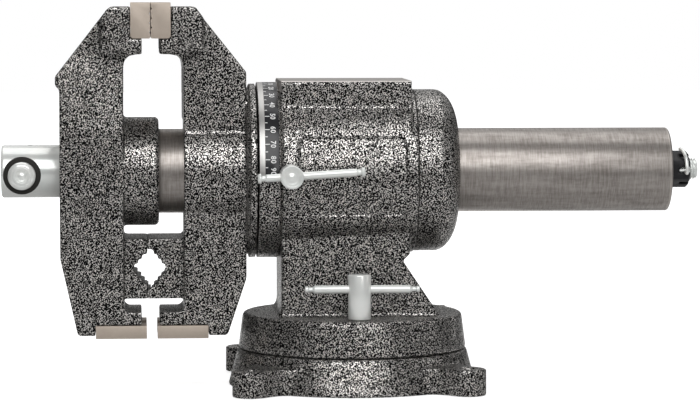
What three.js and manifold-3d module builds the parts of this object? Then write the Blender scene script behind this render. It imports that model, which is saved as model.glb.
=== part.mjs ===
// Swivel bench vise with a rotating head, in millimetres.
// The origin is the swivel axis on the bench, +X runs to the rear of the slide tube and +Z is up.
// Pieces of the head are written about the spindle axis, which lies along X at axisHeight.
import * as THREE from "three";
import { mergeVertices } from "three/addons/utils/BufferGeometryUtils.js";
import Module from "manifold-3d";

const wasm = await Module();
wasm.setup();

// Shared fits and cuts
const fitGap = 0.3;
const overrun = 4;
const axisHeight = 160;

// Facets of large, middle and small rounds, and of rounded corners
const largeFacets = 48;
const middleFacets = 24;
const smallFacets = 16;
const tinyFacets = 12;
const cornerFacets = 3;
const edgeFacets = 2;

// Swivel base
const baseHeight = 27;
const baseTopRadius = 86.2;
const baseFootRadius = 93;
const baseEdge = 1.2;
const earCount = 4;
const earHeight = 19.5;
const earTipRadius = 13.5;
const earFilletRadius = 20;
const boltCircleRadius = 112;
const boltHoleRadius = 5.5;

// Ring slot for the swivel bolts, relief under the base and pivot
const lockRadius = 65;
const slotMouthWidth = 11;
const slotWidth = 20;
const slotLip = 8;
const slotDepth = 18.3;
const reliefWall = 5;
const reliefWidth = 16;
const reliefDepth = 9;
const reliefOuterRadius = lockRadius - slotWidth / 2 - reliefWall;
const reliefInnerRadius = reliefOuterRadius - reliefWidth;
const pivotRadius = 25;
const pivotLength = 12;
const pivotFloorGap = 0.5;

// Slide tube, the sleeve that carries it and the barrel that the sleeve turns in
const slideGap = 0.4;
const tubeRadius = 31.4;
const tubeWall = 7.4;
const tubeBoreRadius = tubeRadius - tubeWall;
const tubeFront = -196;
const tubeRear = 238;
const tubeEdge = 1;
const sleeveWall = 12.2;
const sleeveRadius = tubeRadius + slideGap + sleeveWall;
const sleeveReach = 14.8;
const barrelWall = 20.6;
const barrelRadius = sleeveRadius + slideGap + barrelWall;

// Turntable, pedestal, barrel and anvil, which are one casting
const turntableThickness = 27;
const turntableFootRadius = 85.3;
const turntableTopRadius = 82.3;
const turntableEdge = 2;
const pedestalFront = -55;
const pedestalFootRear = 62.5;
const pedestalNeckRear = 35;
const pedestalHalfWidth = 43;
const pedestalFillet = 7;
const pedestalCorner = 5;
const pedestalDepth = 15;
const barrelFront = -55.5;
const barrelRear = 45.2;
const sleeveRear = barrelRear + sleeveReach;
const barrelTaper = 3.5;
const barrelRearRadius = barrelRadius - barrelTaper;
const spigotLength = 16.5;
const anvilRear = 41;
const anvilRise = 3;
const anvilHeight = barrelRadius + anvilRise;
const anvilHalfWidth = 43;
const anvilEdge = 1.2;

// Recessed panel on the barrel's near side, measured about the barrel's axis
const panelFront = -43;
const panelRear = 36.7;
const panelLow = -31;
const panelHigh = 27.5;
const panelCorner = 6;
const panelDepth = 1.6;

// Degree scale, a thin band on the upper half of the spigot
const scaleThickness = 0.8;
const scaleWidth = 14.4;

// Swivel lock: bolt head in the ring slot, round nut on the turntable and sliding bar
const swivelLockX = 1;
const boltHeadSize = 17;
const boltHeadHeight = 8;
const boltRadius = 5;
const lockNutRadius = 8.5;
const lockNutHeight = 33;
const lockNutEdge = 0.8;
const lockBarLift = 22.5;
const lockThreadDepth = 17.5;
const lockBarRadius = 3.1;
const lockBarFront = -40;
const lockBarRear = 44;
const lockTipNeckRadius = 1.8;
const lockTipRadius = 2.4;
const lockTipLength = 7;

// Head lock: hub with a screw, a pad that presses on the sleeve, and a sliding bar
const headLockX = -49.5;
const hubRadius = 8.4;
const hubFootGap = 3;
const hubLength = 25;
const hubFoot = barrelRadius + hubFootGap;
const hubEnd = hubFoot + hubLength;
const hubDish = 1.2;
const hubScrewRadius = 6;
const headBarLift = 15;
const headBarPlane = hubFoot + headBarLift;
const headBarTilt = THREE.MathUtils.degToRad(3.6);
const headBarRadius = 2.9;
const headBarFront = -24.5;
const headBarRear = 53.5;
const headTipNeckRadius = 2.1;
const headTipRadius = 4;
const headTipLength = 6.5;
const padLength = 7.3;
const hubScrewEnd = sleeveRadius + slideGap + padLength + fitGap;

// Both jaws, measured from the plane in which the top plates meet and from the spindle axis
const jawPlane = -150.6;
const jawTravel = 130;
const jawWidth = 125;
const jawTop = 122.4;
const jawBottom = 120.3;
const jawCorner = 3;
const windowTop = 87.5;
const windowRadius = 10;
const windowFoot = 100;
const blockFoot = 89.9;
const blockCorner = 2.5;
const lipTop = 103;
const topPlateThickness = 14.6;
const topPlateHeight = 26;
const topPlateLow = 99.5;
const plateEdge = 1.5;
const toothPitch = 6.8;
const toothDepth = 1;
const toothShare = 1 / 3;
const veePlateLength = 37.6;
const veePlateThickness = 9.5;
const veePlateHalfWidth = 31;
const veePlateProud = 2.1;
const veeDepth = 9;
const veeHalfWidth = 11;

// Moving jaw, with depths counted away from the jaw plane
const moving = {
  wall: 20.2,
  back: 66.8,
  topBack: 29,
  brow: 31.9,
  browDrop: 2.1,
  knee: 71.3,
  blockBack: 36.5,
  lipFace: 6.4,
  lowKnee: 63.2,
  footBack: 54.2,
  lowLipFace: 7.1,
  veeFace: 3.4,
  halfWidth: 40,
  topHalfWidth: 36,
  footHalfWidth: 31,
};
const nubReach = 3.1;
const nubFoot = 64.8;
const bossWall = 9;
const bossRadius = tubeRadius + bossWall;
const bossReach = 6;
const bossEdge = 2;

// Fixed jaw, with depths counted the same way
const fixed = {
  wall: 24.3,
  back: 70.4,
  topBack: 32.5,
  brow: 40.1,
  browDrop: 10,
  knee: 74.3,
  blockBack: 38.6,
  lipFace: 6.6,
  lowKnee: 78,
  footBack: 56.3,
  lowLipFace: 6,
  veeFace: 4.5,
  halfWidth: 33,
  topHalfWidth: 33,
  footHalfWidth: 31,
};
const housingWall = 13.1;
const housingRadius = tubeRadius + housingWall;
const collarRadius = barrelRadius;
const collarLength = 5;
const collarFlare = 5;
const collarGap = 1;
const collarNeck = 2.5;

// Pipe jaws and their toothed opening
const pipeTop = 48.6;
const pipeBottom = 93;
const pipeHalfWidth = 28;
const pipeCentre = 70.7;
const pipeOffset = 2.7;
const pipePlane = jawPlane - pipeOffset;
const diamondOffset = 1;
const diamondX = jawPlane - diamondOffset;
const diamondHalfWidth = 11.5;
const diamondHalfHeight = 14.1;
const diamondSteps = 4;

// Main nut, whose stem reaches through the tube's slot into the fixed jaw
const nutFront = -108;
const nutRear = -68;
const nutStemInset = 8;
const nutStemHalfWidth = 6.5;
const nutStemReach = 8.6;
const nutStemEnd = tubeRadius + nutStemReach;
const slotMargin = 4;

// Rear cap
const capStep = 1;
const capRadius = barrelRearRadius - capStep;
const capFront = barrelRear + fitGap;
const capRear = 78;
const capRoundLength = 17.5;
const capLip = 0.7;
const capRoundFacets = 4;
const capScrewCount = 4;
const capScrewInset = 6;
const capScrewCircle = sleeveRadius - capScrewInset;

// Screws: head radius, head height, shank radius, shank length
const plateScrew = { headRadius: 6.5, headHeight: 8, radius: 4, length: 17, recess: 1.2, key: 3.2 };
const veeScrew = { headRadius: 6.5, headHeight: 5, radius: 3.5, length: 17, recess: 1, key: 2.8 };
const capScrew = { headRadius: 4.6, headHeight: 5, radius: 2.5, length: 20, recess: 1.2, key: 2.2 };
const setScrew = { radius: 5, length: 7, key: 2.8 };
const plateScrewSpread = 38;
const veeScrewSpread = 19;
const veeScrewDepth = 31;
const setScrewDepth = 32;

// Spindle, castle nut and split pin
const spindleFront = -262.6;
const spindleHeadRadius = 19.5;
const spindleHeadEdge = 2;
const spindleRadius = 11;
const threadGap = 2.5;
const studRadius = 8;
const studReach = 22.5;
const studEdge = 1.2;
const bushLength = 20;
const castleNutAcross = 24;
const castleNutLength = 16;
const castleSolidLength = 8.2;
const castleEndRadius = 11.2;
const castleChamfer = 2;
const castleSlotWidth = 4.4;
const castleSlots = 6;
const pinRadius = 1.6;
const pinEyeRadius = 3;
const pinReach = 14.5;
const pinSteps = 30;
const pinLoopShares = [-5 / 6, -2 / 3, -1 / 2, -1 / 3, -1 / 6];
const pinRunShares = [-1, -0.85, -0.7, 0, 0.7, 0.9];
const pinLegShares = [0.08, 0.24, 0.45, 0.66, 0.86];

// Tommy bar
const tommyX = -244.2;
const tommyRadius = 8;
const tommyNear = -65;
const tommyFar = 135;
const tommyCapRadius = 10.5;
const tommyCapLength = 8;
const tommyCapEdge = 1.2;
const tommyTenonRadius = 5;
const tommyTenonLength = 6;
const tommyFaceRadius = 7.2;
const tommyDimpleRadius = 4.8;
const tommyDimpleDepth = 1.2;
const tommyRingRadius = 14;
const tommyRingWidth = 6;

// Finishes
const hammertone = { color: 0x3b3b3c, roughness: 0.42, metalness: 0.55 };
const bareSteel = { color: 0x9c9188, roughness: 0.5, metalness: 0.8 };
const drawnTube = { color: 0x6d655e, roughness: 0.38, metalness: 0.9 };
const zinc = { color: 0xd9dbd7, roughness: 0.22, metalness: 1 };
const blackOxide = { color: 0x1b1b1c, roughness: 0.5, metalness: 0.6 };
const printedScale = { color: 0x2a2b2d, roughness: 0.35, metalness: 0.3 };
const rubber = { color: 0x121212, roughness: 0.85, metalness: 0 };
const brass = { color: 0xb08d4a, roughness: 0.4, metalness: 1 };

// A closed geometry as a solid that can be joined and cut
function solid(geometry) {
  geometry.deleteAttribute("normal");
  geometry.deleteAttribute("uv");
  const merged = mergeVertices(geometry);
  const corners = merged.index.array;
  const kept = [];
  for (let start = 0; start < corners.length; start += 3) {
    const [a, b, c] = corners.slice(start, start + 3);
    if (a !== b && b !== c && c !== a) kept.push(a, b, c);
  }
  const vertProperties = merged.attributes.position.array;
  return new wasm.Manifold(new wasm.Mesh({ numProp: 3, vertProperties, triVerts: new Uint32Array(kept) }));
}

function geometryOf(body) {
  const mesh = body.getMesh();
  const geometry = new THREE.BufferGeometry();
  geometry.setAttribute("position", new THREE.BufferAttribute(mesh.vertProperties, 3));
  geometry.setIndex(new THREE.BufferAttribute(mesh.triVerts, 1));
  geometry.computeVertexNormals();
  return geometry;
}

// An outline through corners given as across, up and corner radius
function outline(corners) {
  const points = corners.map(([across, up]) => new THREE.Vector2(across, up));
  const shape = new THREE.Shape();
  corners.forEach(([, , radius = 0], index) => {
    const here = points[index];
    const back = points.at(index - 1).clone().sub(here).normalize();
    const onward = points[(index + 1) % points.length].clone().sub(here).normalize();
    const cut = radius / Math.tan(Math.acos(THREE.MathUtils.clamp(back.dot(onward), -1, 1)) / 2);
    const start = here.clone().addScaledVector(back, cut);
    const end = here.clone().addScaledVector(onward, cut);
    if (index === 0) shape.moveTo(start.x, start.y);
    else shape.lineTo(start.x, start.y);
    if (radius > 0) shape.quadraticCurveTo(here.x, here.y, end.x, end.y);
  });
  return shape;
}

function extruded(shape, depth, edge = 0) {
  const geometry = new THREE.ExtrudeGeometry(shape, {
    depth: depth - 2 * edge,
    curveSegments: cornerFacets,
    bevelEnabled: edge > 0,
    bevelSize: edge,
    bevelOffset: -edge,
    bevelThickness: edge,
    bevelSegments: edgeFacets,
  });
  geometry.translate(0, 0, edge);
  return geometry;
}

// Extrusions of an outline of X and Z along Y, of Y and Z along X, and of X and Y along Z
function alongY(shape, near, far, edge = 0) {
  return solid(extruded(shape, far - near, edge).rotateX(Math.PI / 2).translate(0, far, 0));
}

function alongX(shape, front, rear, edge = 0) {
  const geometry = extruded(shape, rear - front, edge).rotateX(Math.PI / 2).rotateZ(Math.PI / 2);
  return solid(geometry.translate(front, 0, 0));
}

function alongZ(shape, low, high, edge = 0) {
  return solid(extruded(shape, high - low, edge).translate(0, 0, low));
}

// Turned shapes from profile points given as place along the axis and radius
function lathe(profile, facets) {
  return new THREE.LatheGeometry(
    profile.map(([along, radius]) => new THREE.Vector2(radius, along)),
    facets,
  );
}

function turnedX(profile, facets = largeFacets, y = 0, z = 0) {
  return solid(lathe(profile, facets).rotateZ(-Math.PI / 2).translate(0, y, z));
}

function turnedY(profile, facets = smallFacets, x = 0, z = 0) {
  return solid(lathe(profile, facets).translate(x, 0, z));
}

function turnedZ(profile, facets = smallFacets, x = 0, y = 0) {
  return solid(lathe(profile, facets).rotateX(Math.PI / 2).translate(x, y, 0));
}

// Profile of a plain round bar between two places on its axis, with chamfered ends
function rod(low, high, radius, edge = 0) {
  const ends = [[low, 0], [low, radius - edge], [low + edge, radius]];
  const rest = [[high - edge, radius], [high, radius - edge], [high, 0]];
  return edge > 0 ? [...ends, ...rest] : [[low, 0], [low, radius], [high, radius], [high, 0]];
}

// Profile of a ring with a square section
function ring(low, high, inner, outer) {
  return [[low, inner], [low, outer], [high, outer], [high, inner], [low, inner]];
}

function box(x0, x1, y0, y1, z0, z1) {
  return alongZ(outline([[x0, y0], [x1, y0], [x1, y1], [x0, y1]]), z0, z1);
}

// A socket screw about its own axis: the head's top lies at 0 and the shank points down
function socketScrew({ headRadius, headHeight, radius, length, key }, countersunk = false) {
  const shank = [[-length, 0], [-length, radius], [-headHeight, radius]];
  const shoulder = countersunk ? [] : [[-headHeight, headRadius]];
  const head = [...shoulder, [0, headRadius], [0, 0]];
  const socket = new THREE.CylinderGeometry(key, key, headHeight, 6).rotateX(Math.PI / 2);
  return turnedZ([...shank, ...head], tinyFacets).subtract(solid(socket));
}

// The seat of such a screw, open at the head's side
function screwSeat({ headRadius, headHeight, radius, length, recess }, countersunk = false) {
  const shank = [[-length - fitGap, 0], [-length - fitGap, radius + fitGap]];
  const low = -headHeight - fitGap;
  const shoulder = [[low, radius + fitGap], ...(countersunk ? [] : [[low, headRadius + fitGap]])];
  const mouth = [[0, headRadius + fitGap], [recess + overrun, headRadius + fitGap]];
  return turnedZ([...shank, ...shoulder, ...mouth, [recess + overrun, 0]], tinyFacets);
}

const vise = new THREE.Group();
const head = new THREE.Group();
vise.name = "swivel_bench_vise";
head.position.z = axisHeight;
vise.add(head);

function add(group, name, body, finish, place = [0, 0, 0], turn = [0, 0, 0]) {
  const mesh = new THREE.Mesh(geometryOf(body), new THREE.MeshStandardMaterial(finish));
  mesh.name = name;
  mesh.position.set(...place);
  mesh.rotation.set(...turn);
  group.add(mesh);
}

const sides = [["near", -1], ["far", 1]];
const deckLow = baseHeight + fitGap;
const deckTop = baseHeight + turntableThickness;
const slotRoof = baseHeight - slotLip;
const slotFloor = baseHeight - slotDepth;

// Plan of the bolt ears round a circle, each ear running out to a round tip over concave fillets
function earPlan(circleRadius) {
  const side = earTipRadius + earFilletRadius;
  const along = Math.sqrt((circleRadius + earFilletRadius) ** 2 - side ** 2);
  const open = Math.atan2(side, along);
  const points = [];
  for (let ear = 0; ear < earCount; ear++) {
    const turn = (ear + 1 / 2) * ((2 * Math.PI) / earCount);
    const put = (x, y) => points.push(new THREE.Vector2(x, y).rotateAround(new THREE.Vector2(), turn));
    const fillet = (sign, from, to) => {
      for (let step = 0; step <= cornerFacets; step++) {
        const angle = THREE.MathUtils.lerp(from, to, step / cornerFacets);
        put(along + earFilletRadius * Math.cos(angle), sign * (side + earFilletRadius * Math.sin(angle)));
      }
    };
    fillet(-1, Math.PI + open, (3 * Math.PI) / 2);
    for (let step = 0; step <= smallFacets / 2; step++) {
      const angle = (step / smallFacets) * 2 * Math.PI - Math.PI / 2;
      put(boltCircleRadius + earTipRadius * Math.cos(angle), earTipRadius * Math.sin(angle));
    }
    fillet(1, (3 * Math.PI) / 2, Math.PI + open);
    for (let step = 1; step < smallFacets / 4; step++) {
      const angle = THREE.MathUtils.lerp(open, (2 * Math.PI) / earCount - open, step / (smallFacets / 4));
      put(circleRadius * Math.cos(angle), circleRadius * Math.sin(angle));
    }
  }
  return new THREE.Shape(points);
}

function swivelBase() {
  const wallShare = earHeight / baseHeight;
  const earRoot = THREE.MathUtils.lerp(baseFootRadius, baseTopRadius, wallShare);
  const cone = turnedZ([
    [0, 0],
    [0, baseFootRadius],
    [baseHeight - baseEdge, baseTopRadius],
    [baseHeight, baseTopRadius - baseEdge],
    [baseHeight, 0],
  ], largeFacets);
  const mouthInner = lockRadius - slotMouthWidth / 2;
  const mouthOuter = lockRadius + slotMouthWidth / 2;
  const ringSlot = turnedZ([
    [slotFloor, lockRadius - slotWidth / 2],
    [slotFloor, lockRadius + slotWidth / 2],
    [slotRoof, lockRadius + slotWidth / 2],
    [slotRoof, mouthOuter],
    [baseHeight + overrun, mouthOuter],
    [baseHeight + overrun, mouthInner],
    [slotRoof, mouthInner],
    [slotRoof, lockRadius - slotWidth / 2],
    [slotFloor, lockRadius - slotWidth / 2],
  ], largeFacets);
  const pivotFloor = baseHeight - pivotLength - pivotFloorGap;
  let body = cone.add(alongZ(earPlan(earRoot), 0, earHeight)).subtract(ringSlot);
  body = body.subtract(turnedZ(rod(pivotFloor, baseHeight + overrun, pivotRadius + slideGap), middleFacets));
  const relief = ring(-overrun, reliefDepth, reliefInnerRadius, reliefOuterRadius);
  body = body.subtract(turnedZ(relief, middleFacets));
  for (let ear = 0; ear < earCount; ear++) {
    const angle = (ear + 1 / 2) * ((2 * Math.PI) / earCount);
    const [x, y] = [boltCircleRadius * Math.cos(angle), boltCircleRadius * Math.sin(angle)];
    body = body.subtract(turnedZ(rod(-overrun, earHeight + overrun, boltHoleRadius), smallFacets, x, y));
  }
  return body;
}

function turntable() {
  return turnedZ([
    [baseHeight - pivotLength, 0],
    [baseHeight - pivotLength, pivotRadius],
    [deckLow, pivotRadius],
    [deckLow, turntableFootRadius - turntableEdge / 2],
    [deckLow + turntableEdge / 2, turntableFootRadius],
    [deckTop - turntableEdge, turntableTopRadius],
    [deckTop - turntableEdge / 4, turntableTopRadius - turntableEdge / 2],
    [deckTop, turntableTopRadius - turntableEdge],
    [deckTop, 0],
  ], largeFacets);
}

function pedestal() {
  const low = deckTop - pedestalDepth;
  const neck = axisHeight - barrelRadius;
  const neckRear = barrelRear - pedestalCorner;
  const footReach = pedestalFillet + pedestalCorner;
  const shape = outline([
    [pedestalFront - footReach, low],
    [pedestalFront - footReach, deckTop],
    [pedestalFront, deckTop, pedestalFillet],
    [pedestalFront, axisHeight],
    [neckRear, axisHeight],
    [neckRear, neck + pedestalCorner],
    [pedestalNeckRear, neck],
    [pedestalFootRear, deckTop, pedestalFillet],
    [pedestalFootRear + footReach, deckTop],
    [pedestalFootRear + footReach, low],
  ]);
  return alongY(shape, -pedestalHalfWidth, pedestalHalfWidth, pedestalCorner / 2);
}

function panelCutter() {
  const shape = outline([
    [panelFront, axisHeight + panelLow, panelCorner],
    [panelRear, axisHeight + panelLow, panelCorner],
    [panelRear, axisHeight + panelHigh, panelCorner],
    [panelFront, axisHeight + panelHigh, panelCorner],
  ]);
  const core = turnedX([
    [barrelFront, 0],
    [barrelFront, barrelRadius - panelDepth],
    [barrelRear, barrelRearRadius - panelDepth],
    [barrelRear, 0],
  ], largeFacets, 0, axisHeight);
  return alongY(shape, -barrelRadius - overrun, 0).subtract(core);
}

function bodyCasting() {
  const spigotFront = barrelFront - spigotLength;
  const barrel = turnedX([
    [spigotFront, 0],
    [spigotFront, barrelRadius],
    [barrelFront, barrelRadius],
    [barrelRear, barrelRearRadius],
    [barrelRear, 0],
  ], largeFacets, 0, axisHeight);
  const anvilTop = axisHeight + anvilHeight;
  const anvil = alongX(outline([
    [-anvilHalfWidth, axisHeight],
    [anvilHalfWidth, axisHeight],
    [anvilHalfWidth, anvilTop - anvilEdge],
    [anvilHalfWidth - anvilEdge, anvilTop],
    [anvilEdge - anvilHalfWidth, anvilTop],
    [-anvilHalfWidth, anvilTop - anvilEdge],
  ]), barrelFront, anvilRear);
  const bore = rod(spigotFront - overrun, barrelRear + overrun, sleeveRadius + slideGap);
  let body = turntable().add(pedestal()).add(barrel).add(anvil).subtract(panelCutter());
  body = body.subtract(turnedX(bore, largeFacets, 0, axisHeight));
  const screwHole = rod(-barrelRadius - overrun, -sleeveRadius + overrun, hubScrewRadius + fitGap);
  body = body.subtract(turnedY(screwHole, smallFacets, headLockX, axisHeight));
  for (const [, side] of sides) {
    const hole = rod(slotRoof, deckTop + overrun, boltRadius + fitGap);
    body = body.subtract(turnedZ(hole, smallFacets, swivelLockX, side * lockRadius));
  }
  return body;
}

// A half ring round the upper side of the spigot, one facet step per facet of the spigot
function degreeScale() {
  const inner = barrelRadius + fitGap;
  const outer = inner + scaleThickness;
  const points = [];
  for (const [radius, way] of [[outer, 1], [inner, -1]]) {
    for (let step = 0; step <= largeFacets / 2; step++) {
      const angle = (way > 0 ? step : largeFacets / 2 - step) * ((2 * Math.PI) / largeFacets);
      points.push([radius * Math.cos(angle), radius * Math.sin(angle)]);
    }
  }
  const front = barrelFront - spigotLength + fitGap;
  return alongX(outline(points), front, front + scaleWidth);
}

function swivelBolt() {
  const half = boltHeadSize / 2;
  const headTop = slotRoof - fitGap;
  const shank = turnedZ(rod(headTop - half, deckTop + lockThreadDepth - fitGap, boltRadius));
  return box(-half, half, -half, half, headTop - boltHeadHeight, headTop).add(shank);
}

function lockNut() {
  const low = deckTop + fitGap;
  const hub = turnedZ(rod(low, low + lockNutHeight, lockNutRadius, lockNutEdge), middleFacets);
  const thread = turnedZ(rod(low - overrun, deckTop + lockThreadDepth, boltRadius + fitGap));
  const reach = lockNutRadius + overrun;
  const hole = turnedX(rod(-reach, reach, lockBarRadius + fitGap), smallFacets, 0, deckTop + lockBarLift);
  return hub.subtract(thread).subtract(hole);
}

// Half a sliding bar's profile at one end: shoulder, neck and tip, listed outwards
function barTip(end, way, radius, neckRadius, tipRadius, length) {
  const third = (way * length) / 3;
  return [
    [end - 3 * third, radius],
    [end - 3 * third, neckRadius],
    [end - 2 * third, neckRadius],
    [end - 2 * third, tipRadius],
    [end, tipRadius],
    [end, 0],
  ];
}

function slidingBar(front, rear, radius, neckRadius, tipRadius, tipLength) {
  const first = barTip(front, -1, radius, neckRadius, tipRadius, tipLength).reverse();
  const last = barTip(rear, 1, radius, neckRadius, tipRadius, tipLength);
  return turnedX([...first, ...last], tinyFacets);
}

function headLockScrew() {
  const rim = -hubEnd;
  const body = turnedY([
    [rim + hubDish, 0],
    [rim + hubDish / 3, hubRadius / 2],
    [rim, hubRadius - hubDish],
    [rim + hubDish, hubRadius],
    [-hubFoot, hubRadius],
    [-hubFoot, hubScrewRadius],
    [-hubScrewEnd, hubScrewRadius],
    [-hubScrewEnd, 0],
  ], middleFacets);
  const reach = hubRadius + overrun;
  const hole = turnedX(rod(-reach, reach, headBarRadius + fitGap), smallFacets, -headBarPlane);
  return body.subtract(hole);
}

// The outline of a jaw from the side; reach turns a depth behind the jaw plane into X
function jawOutline(jaw, reach, nub) {
  const seat = topPlateThickness + fitGap;
  const veeRear = jaw.veeFace + veePlateLength + fitGap;
  const veeTop = -jawBottom + veePlateThickness - veePlateProud + fitGap;
  const points = [
    [seat, jawTop],
    [jaw.topBack, jawTop, jawCorner],
    [jaw.brow, jawTop - jaw.browDrop],
    [jaw.back + nub, jaw.knee],
    ...(nub > 0 ? [[jaw.back + nub, nubFoot], [jaw.back, nubFoot - nub]] : []),
    [jaw.back, -jaw.lowKnee],
    [jaw.footBack, -jawBottom, jawCorner],
    [veeRear, -jawBottom],
    [veeRear, veeTop],
    [jaw.lowLipFace, veeTop],
    [jaw.lowLipFace, -lipTop],
    [jaw.wall - jawCorner, -lipTop],
    [jaw.wall, -windowFoot],
    [jaw.wall, windowTop, windowRadius],
    [jaw.lipFace, windowTop],
    [jaw.lipFace, topPlateLow - fitGap],
    [seat, topPlateLow - fitGap],
  ];
  return outline(points.map(([depth, up, radius]) => [reach(depth), up, radius]));
}

// The jaw's width from the front, which the side outline is trimmed to
function jawWidths(jaw) {
  const halves = [
    [jaw.footHalfWidth, -jawBottom - overrun],
    [jaw.footHalfWidth, -windowFoot],
    [jaw.halfWidth, -tubeRadius],
    [jaw.halfWidth, tubeRadius],
    [jaw.topHalfWidth, windowTop],
    [jaw.topHalfWidth, jawTop + overrun],
  ];
  return outline([...halves, ...halves.map(([half, up]) => [-half, up]).reverse()]);
}

function jawWeb(jaw, reach, nub) {
  const width = jawWidth / 2;
  const [low, high] = [reach(-overrun), reach(jaw.back + nub + overrun)].sort((a, b) => a - b);
  return alongY(jawOutline(jaw, reach, nub), -width, width).intersect(alongX(jawWidths(jaw), low, high));
}

// The block across the jaw that carries the top plate
function plateBlock(jaw, reach) {
  const seat = topPlateThickness + fitGap;
  const fall = (jawTop - jaw.browDrop - jaw.knee) / (jaw.back - jaw.brow);
  const backUp = Math.min(jawTop, jawTop - jaw.browDrop - fall * (jaw.blockBack - jaw.brow));
  const points = [
    [seat, jawTop],
    [jaw.topBack, jawTop],
    ...(jaw.blockBack > jaw.brow ? [[jaw.brow, jawTop - jaw.browDrop]] : []),
    [jaw.blockBack, backUp],
    [jaw.blockBack, blockFoot, jawCorner],
    [jaw.lipFace, blockFoot],
    [jaw.lipFace, topPlateLow - fitGap],
    [seat, topPlateLow - fitGap],
  ];
  const shape = outline(points.map(([depth, up, radius]) => [reach(depth), up, radius]));
  const half = jawWidth / 2;
  const plan = outline([
    [reach(0), -half],
    [reach(jaw.blockBack), -half, blockCorner],
    [reach(jaw.blockBack), half, blockCorner],
    [reach(0), half],
  ]);
  return alongY(shape, -half, half).intersect(alongZ(plan, blockFoot - overrun, jawTop + overrun));
}

// The stepped diamond that both pipe jaws share, as a cutter along Y
function pipeOpening() {
  const quarter = [];
  for (let step = 0; step < diamondSteps; step++) {
    const share = step / diamondSteps;
    const next = (step + 1) / diamondSteps;
    quarter.push([diamondHalfWidth * (1 - share), diamondHalfHeight * share]);
    quarter.push([diamondHalfWidth * (1 - share), diamondHalfHeight * next]);
  }
  const rows = [[1, 1, false], [-1, 1, true], [-1, -1, false], [1, -1, true]];
  const points = rows.flatMap(([across, up, back]) => {
    const side = quarter.map(([x, z]) => [diamondX + across * x, up * z - pipeCentre]);
    return back ? side.reverse() : side;
  });
  const clean = points.filter(([x, z], index) => {
    const [px, pz] = points.at(index - 1);
    return Math.hypot(x - px, z - pz) > 0;
  });
  return alongY(outline(clean), -pipeHalfWidth - overrun, pipeHalfWidth + overrun);
}

function pipeBlock(jaw, reach) {
  const way = Math.sign(reach(1) - reach(0));
  const face = pipePlane + (way * fitGap) / 2;
  const [low, high] = [face, reach(jaw.wall + overrun)].sort((a, b) => a - b);
  return box(low, high, -pipeHalfWidth, pipeHalfWidth, -pipeBottom, -pipeTop).subtract(pipeOpening());
}

// Screw seats in plates and castings, turned so that the head looks towards the jaw plane or down
function seatsAcross(screw, reach) {
  const way = Math.sign(reach(1) - reach(0));
  const middle = topPlateLow + topPlateHeight / 2;
  return [-1, 1].map((side) => {
    const seat = turnedTo(screwSeat(screw), [0, (-way * Math.PI) / 2, 0]);
    return seat.translate([reach(toothDepth + screw.recess), side * plateScrewSpread, middle]);
  });
}

function seatsBelow(screw, reach) {
  return [-1, 1].map((side) => {
    const seat = turnedTo(screwSeat(screw, true), [Math.PI, 0, 0]);
    const low = -jawBottom - veePlateProud + screw.recess;
    return seat.translate([reach(veeScrewDepth), side * veeScrewSpread, low]);
  });
}

function turnedTo(body, turn) {
  const matrix = new THREE.Matrix4().makeRotationFromEuler(new THREE.Euler(...turn));
  return solid(geometryOf(body).applyMatrix4(matrix));
}

function without(body, cutters) {
  return cutters.reduce((rest, cutter) => rest.subtract(cutter), body);
}

const toMoving = (depth) => jawPlane - depth;
const toFixed = (depth) => jawPlane + depth;

function movingJaw() {
  const root = toMoving(moving.wall + jawCorner);
  const end = toMoving(-bossReach);
  const boss = turnedX([
    [root, 0],
    [root, bossRadius],
    [end - bossEdge, bossRadius],
    [end, bossRadius - bossEdge],
    [end, 0],
  ]);
  const bore = turnedX(rod(tubeFront - fitGap, end + overrun, tubeRadius + fitGap));
  const spindleHole = rod(toMoving(moving.back + overrun), end, spindleRadius + fitGap);
  const setHole = rod(0, moving.halfWidth + overrun, setScrew.radius + fitGap);
  const body = jawWeb(moving, toMoving, nubReach)
    .add(plateBlock(moving, toMoving))
    .add(pipeBlock(moving, toMoving))
    .add(boss);
  return without(body, [
    bore,
    turnedX(spindleHole, smallFacets),
    turnedY(setHole, smallFacets, toMoving(setScrewDepth)),
    ...seatsAcross(plateScrew, toMoving),
    ...seatsBelow(veeScrew, toMoving),
  ]);
}

function fixedJaw() {
  const rear = toFixed(fixed.back);
  const collarRear = barrelFront - spigotLength - collarGap;
  const collarFront = collarRear - collarLength;
  const sleeve = turnedX([
    [toFixed(fixed.wall), 0],
    [toFixed(fixed.wall), housingRadius],
    [rear, housingRadius],
    [rear, collarRadius - collarFlare],
    [collarFront, collarRadius - collarNeck],
    [collarFront, collarRadius],
    [collarRear, collarRadius],
    [collarRear, sleeveRadius],
    [sleeveRear, sleeveRadius],
    [sleeveRear, 0],
  ]);
  const pocket = nutStem(fitGap);
  const body = jawWeb(fixed, toFixed, 0)
    .add(plateBlock(fixed, toFixed))
    .add(pipeBlock(fixed, toFixed))
    .add(sleeve);
  return without(body, [
    turnedX(rod(toFixed(fixed.wall) - overrun, sleeveRear + overrun, tubeRadius + slideGap)),
    pocket,
    ...seatsAcross(plateScrew, toFixed),
    ...seatsBelow(veeScrew, toFixed),
    ...capScrewPlaces().map(([y, z]) => capScrewSeat(y, z)),
  ]);
}

function capScrewPlaces() {
  return Array.from({ length: capScrewCount }, (_, index) => {
    const angle = (index + 1 / 2) * ((2 * Math.PI) / capScrewCount);
    return [capScrewCircle * Math.cos(angle), capScrewCircle * Math.sin(angle)];
  });
}

const capScrewTop = capRear - capScrew.recess;

function capScrewSeat(y, z) {
  return turnedTo(screwSeat(capScrew), [0, Math.PI / 2, 0]).translate([capScrewTop, y, z]);
}

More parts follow.
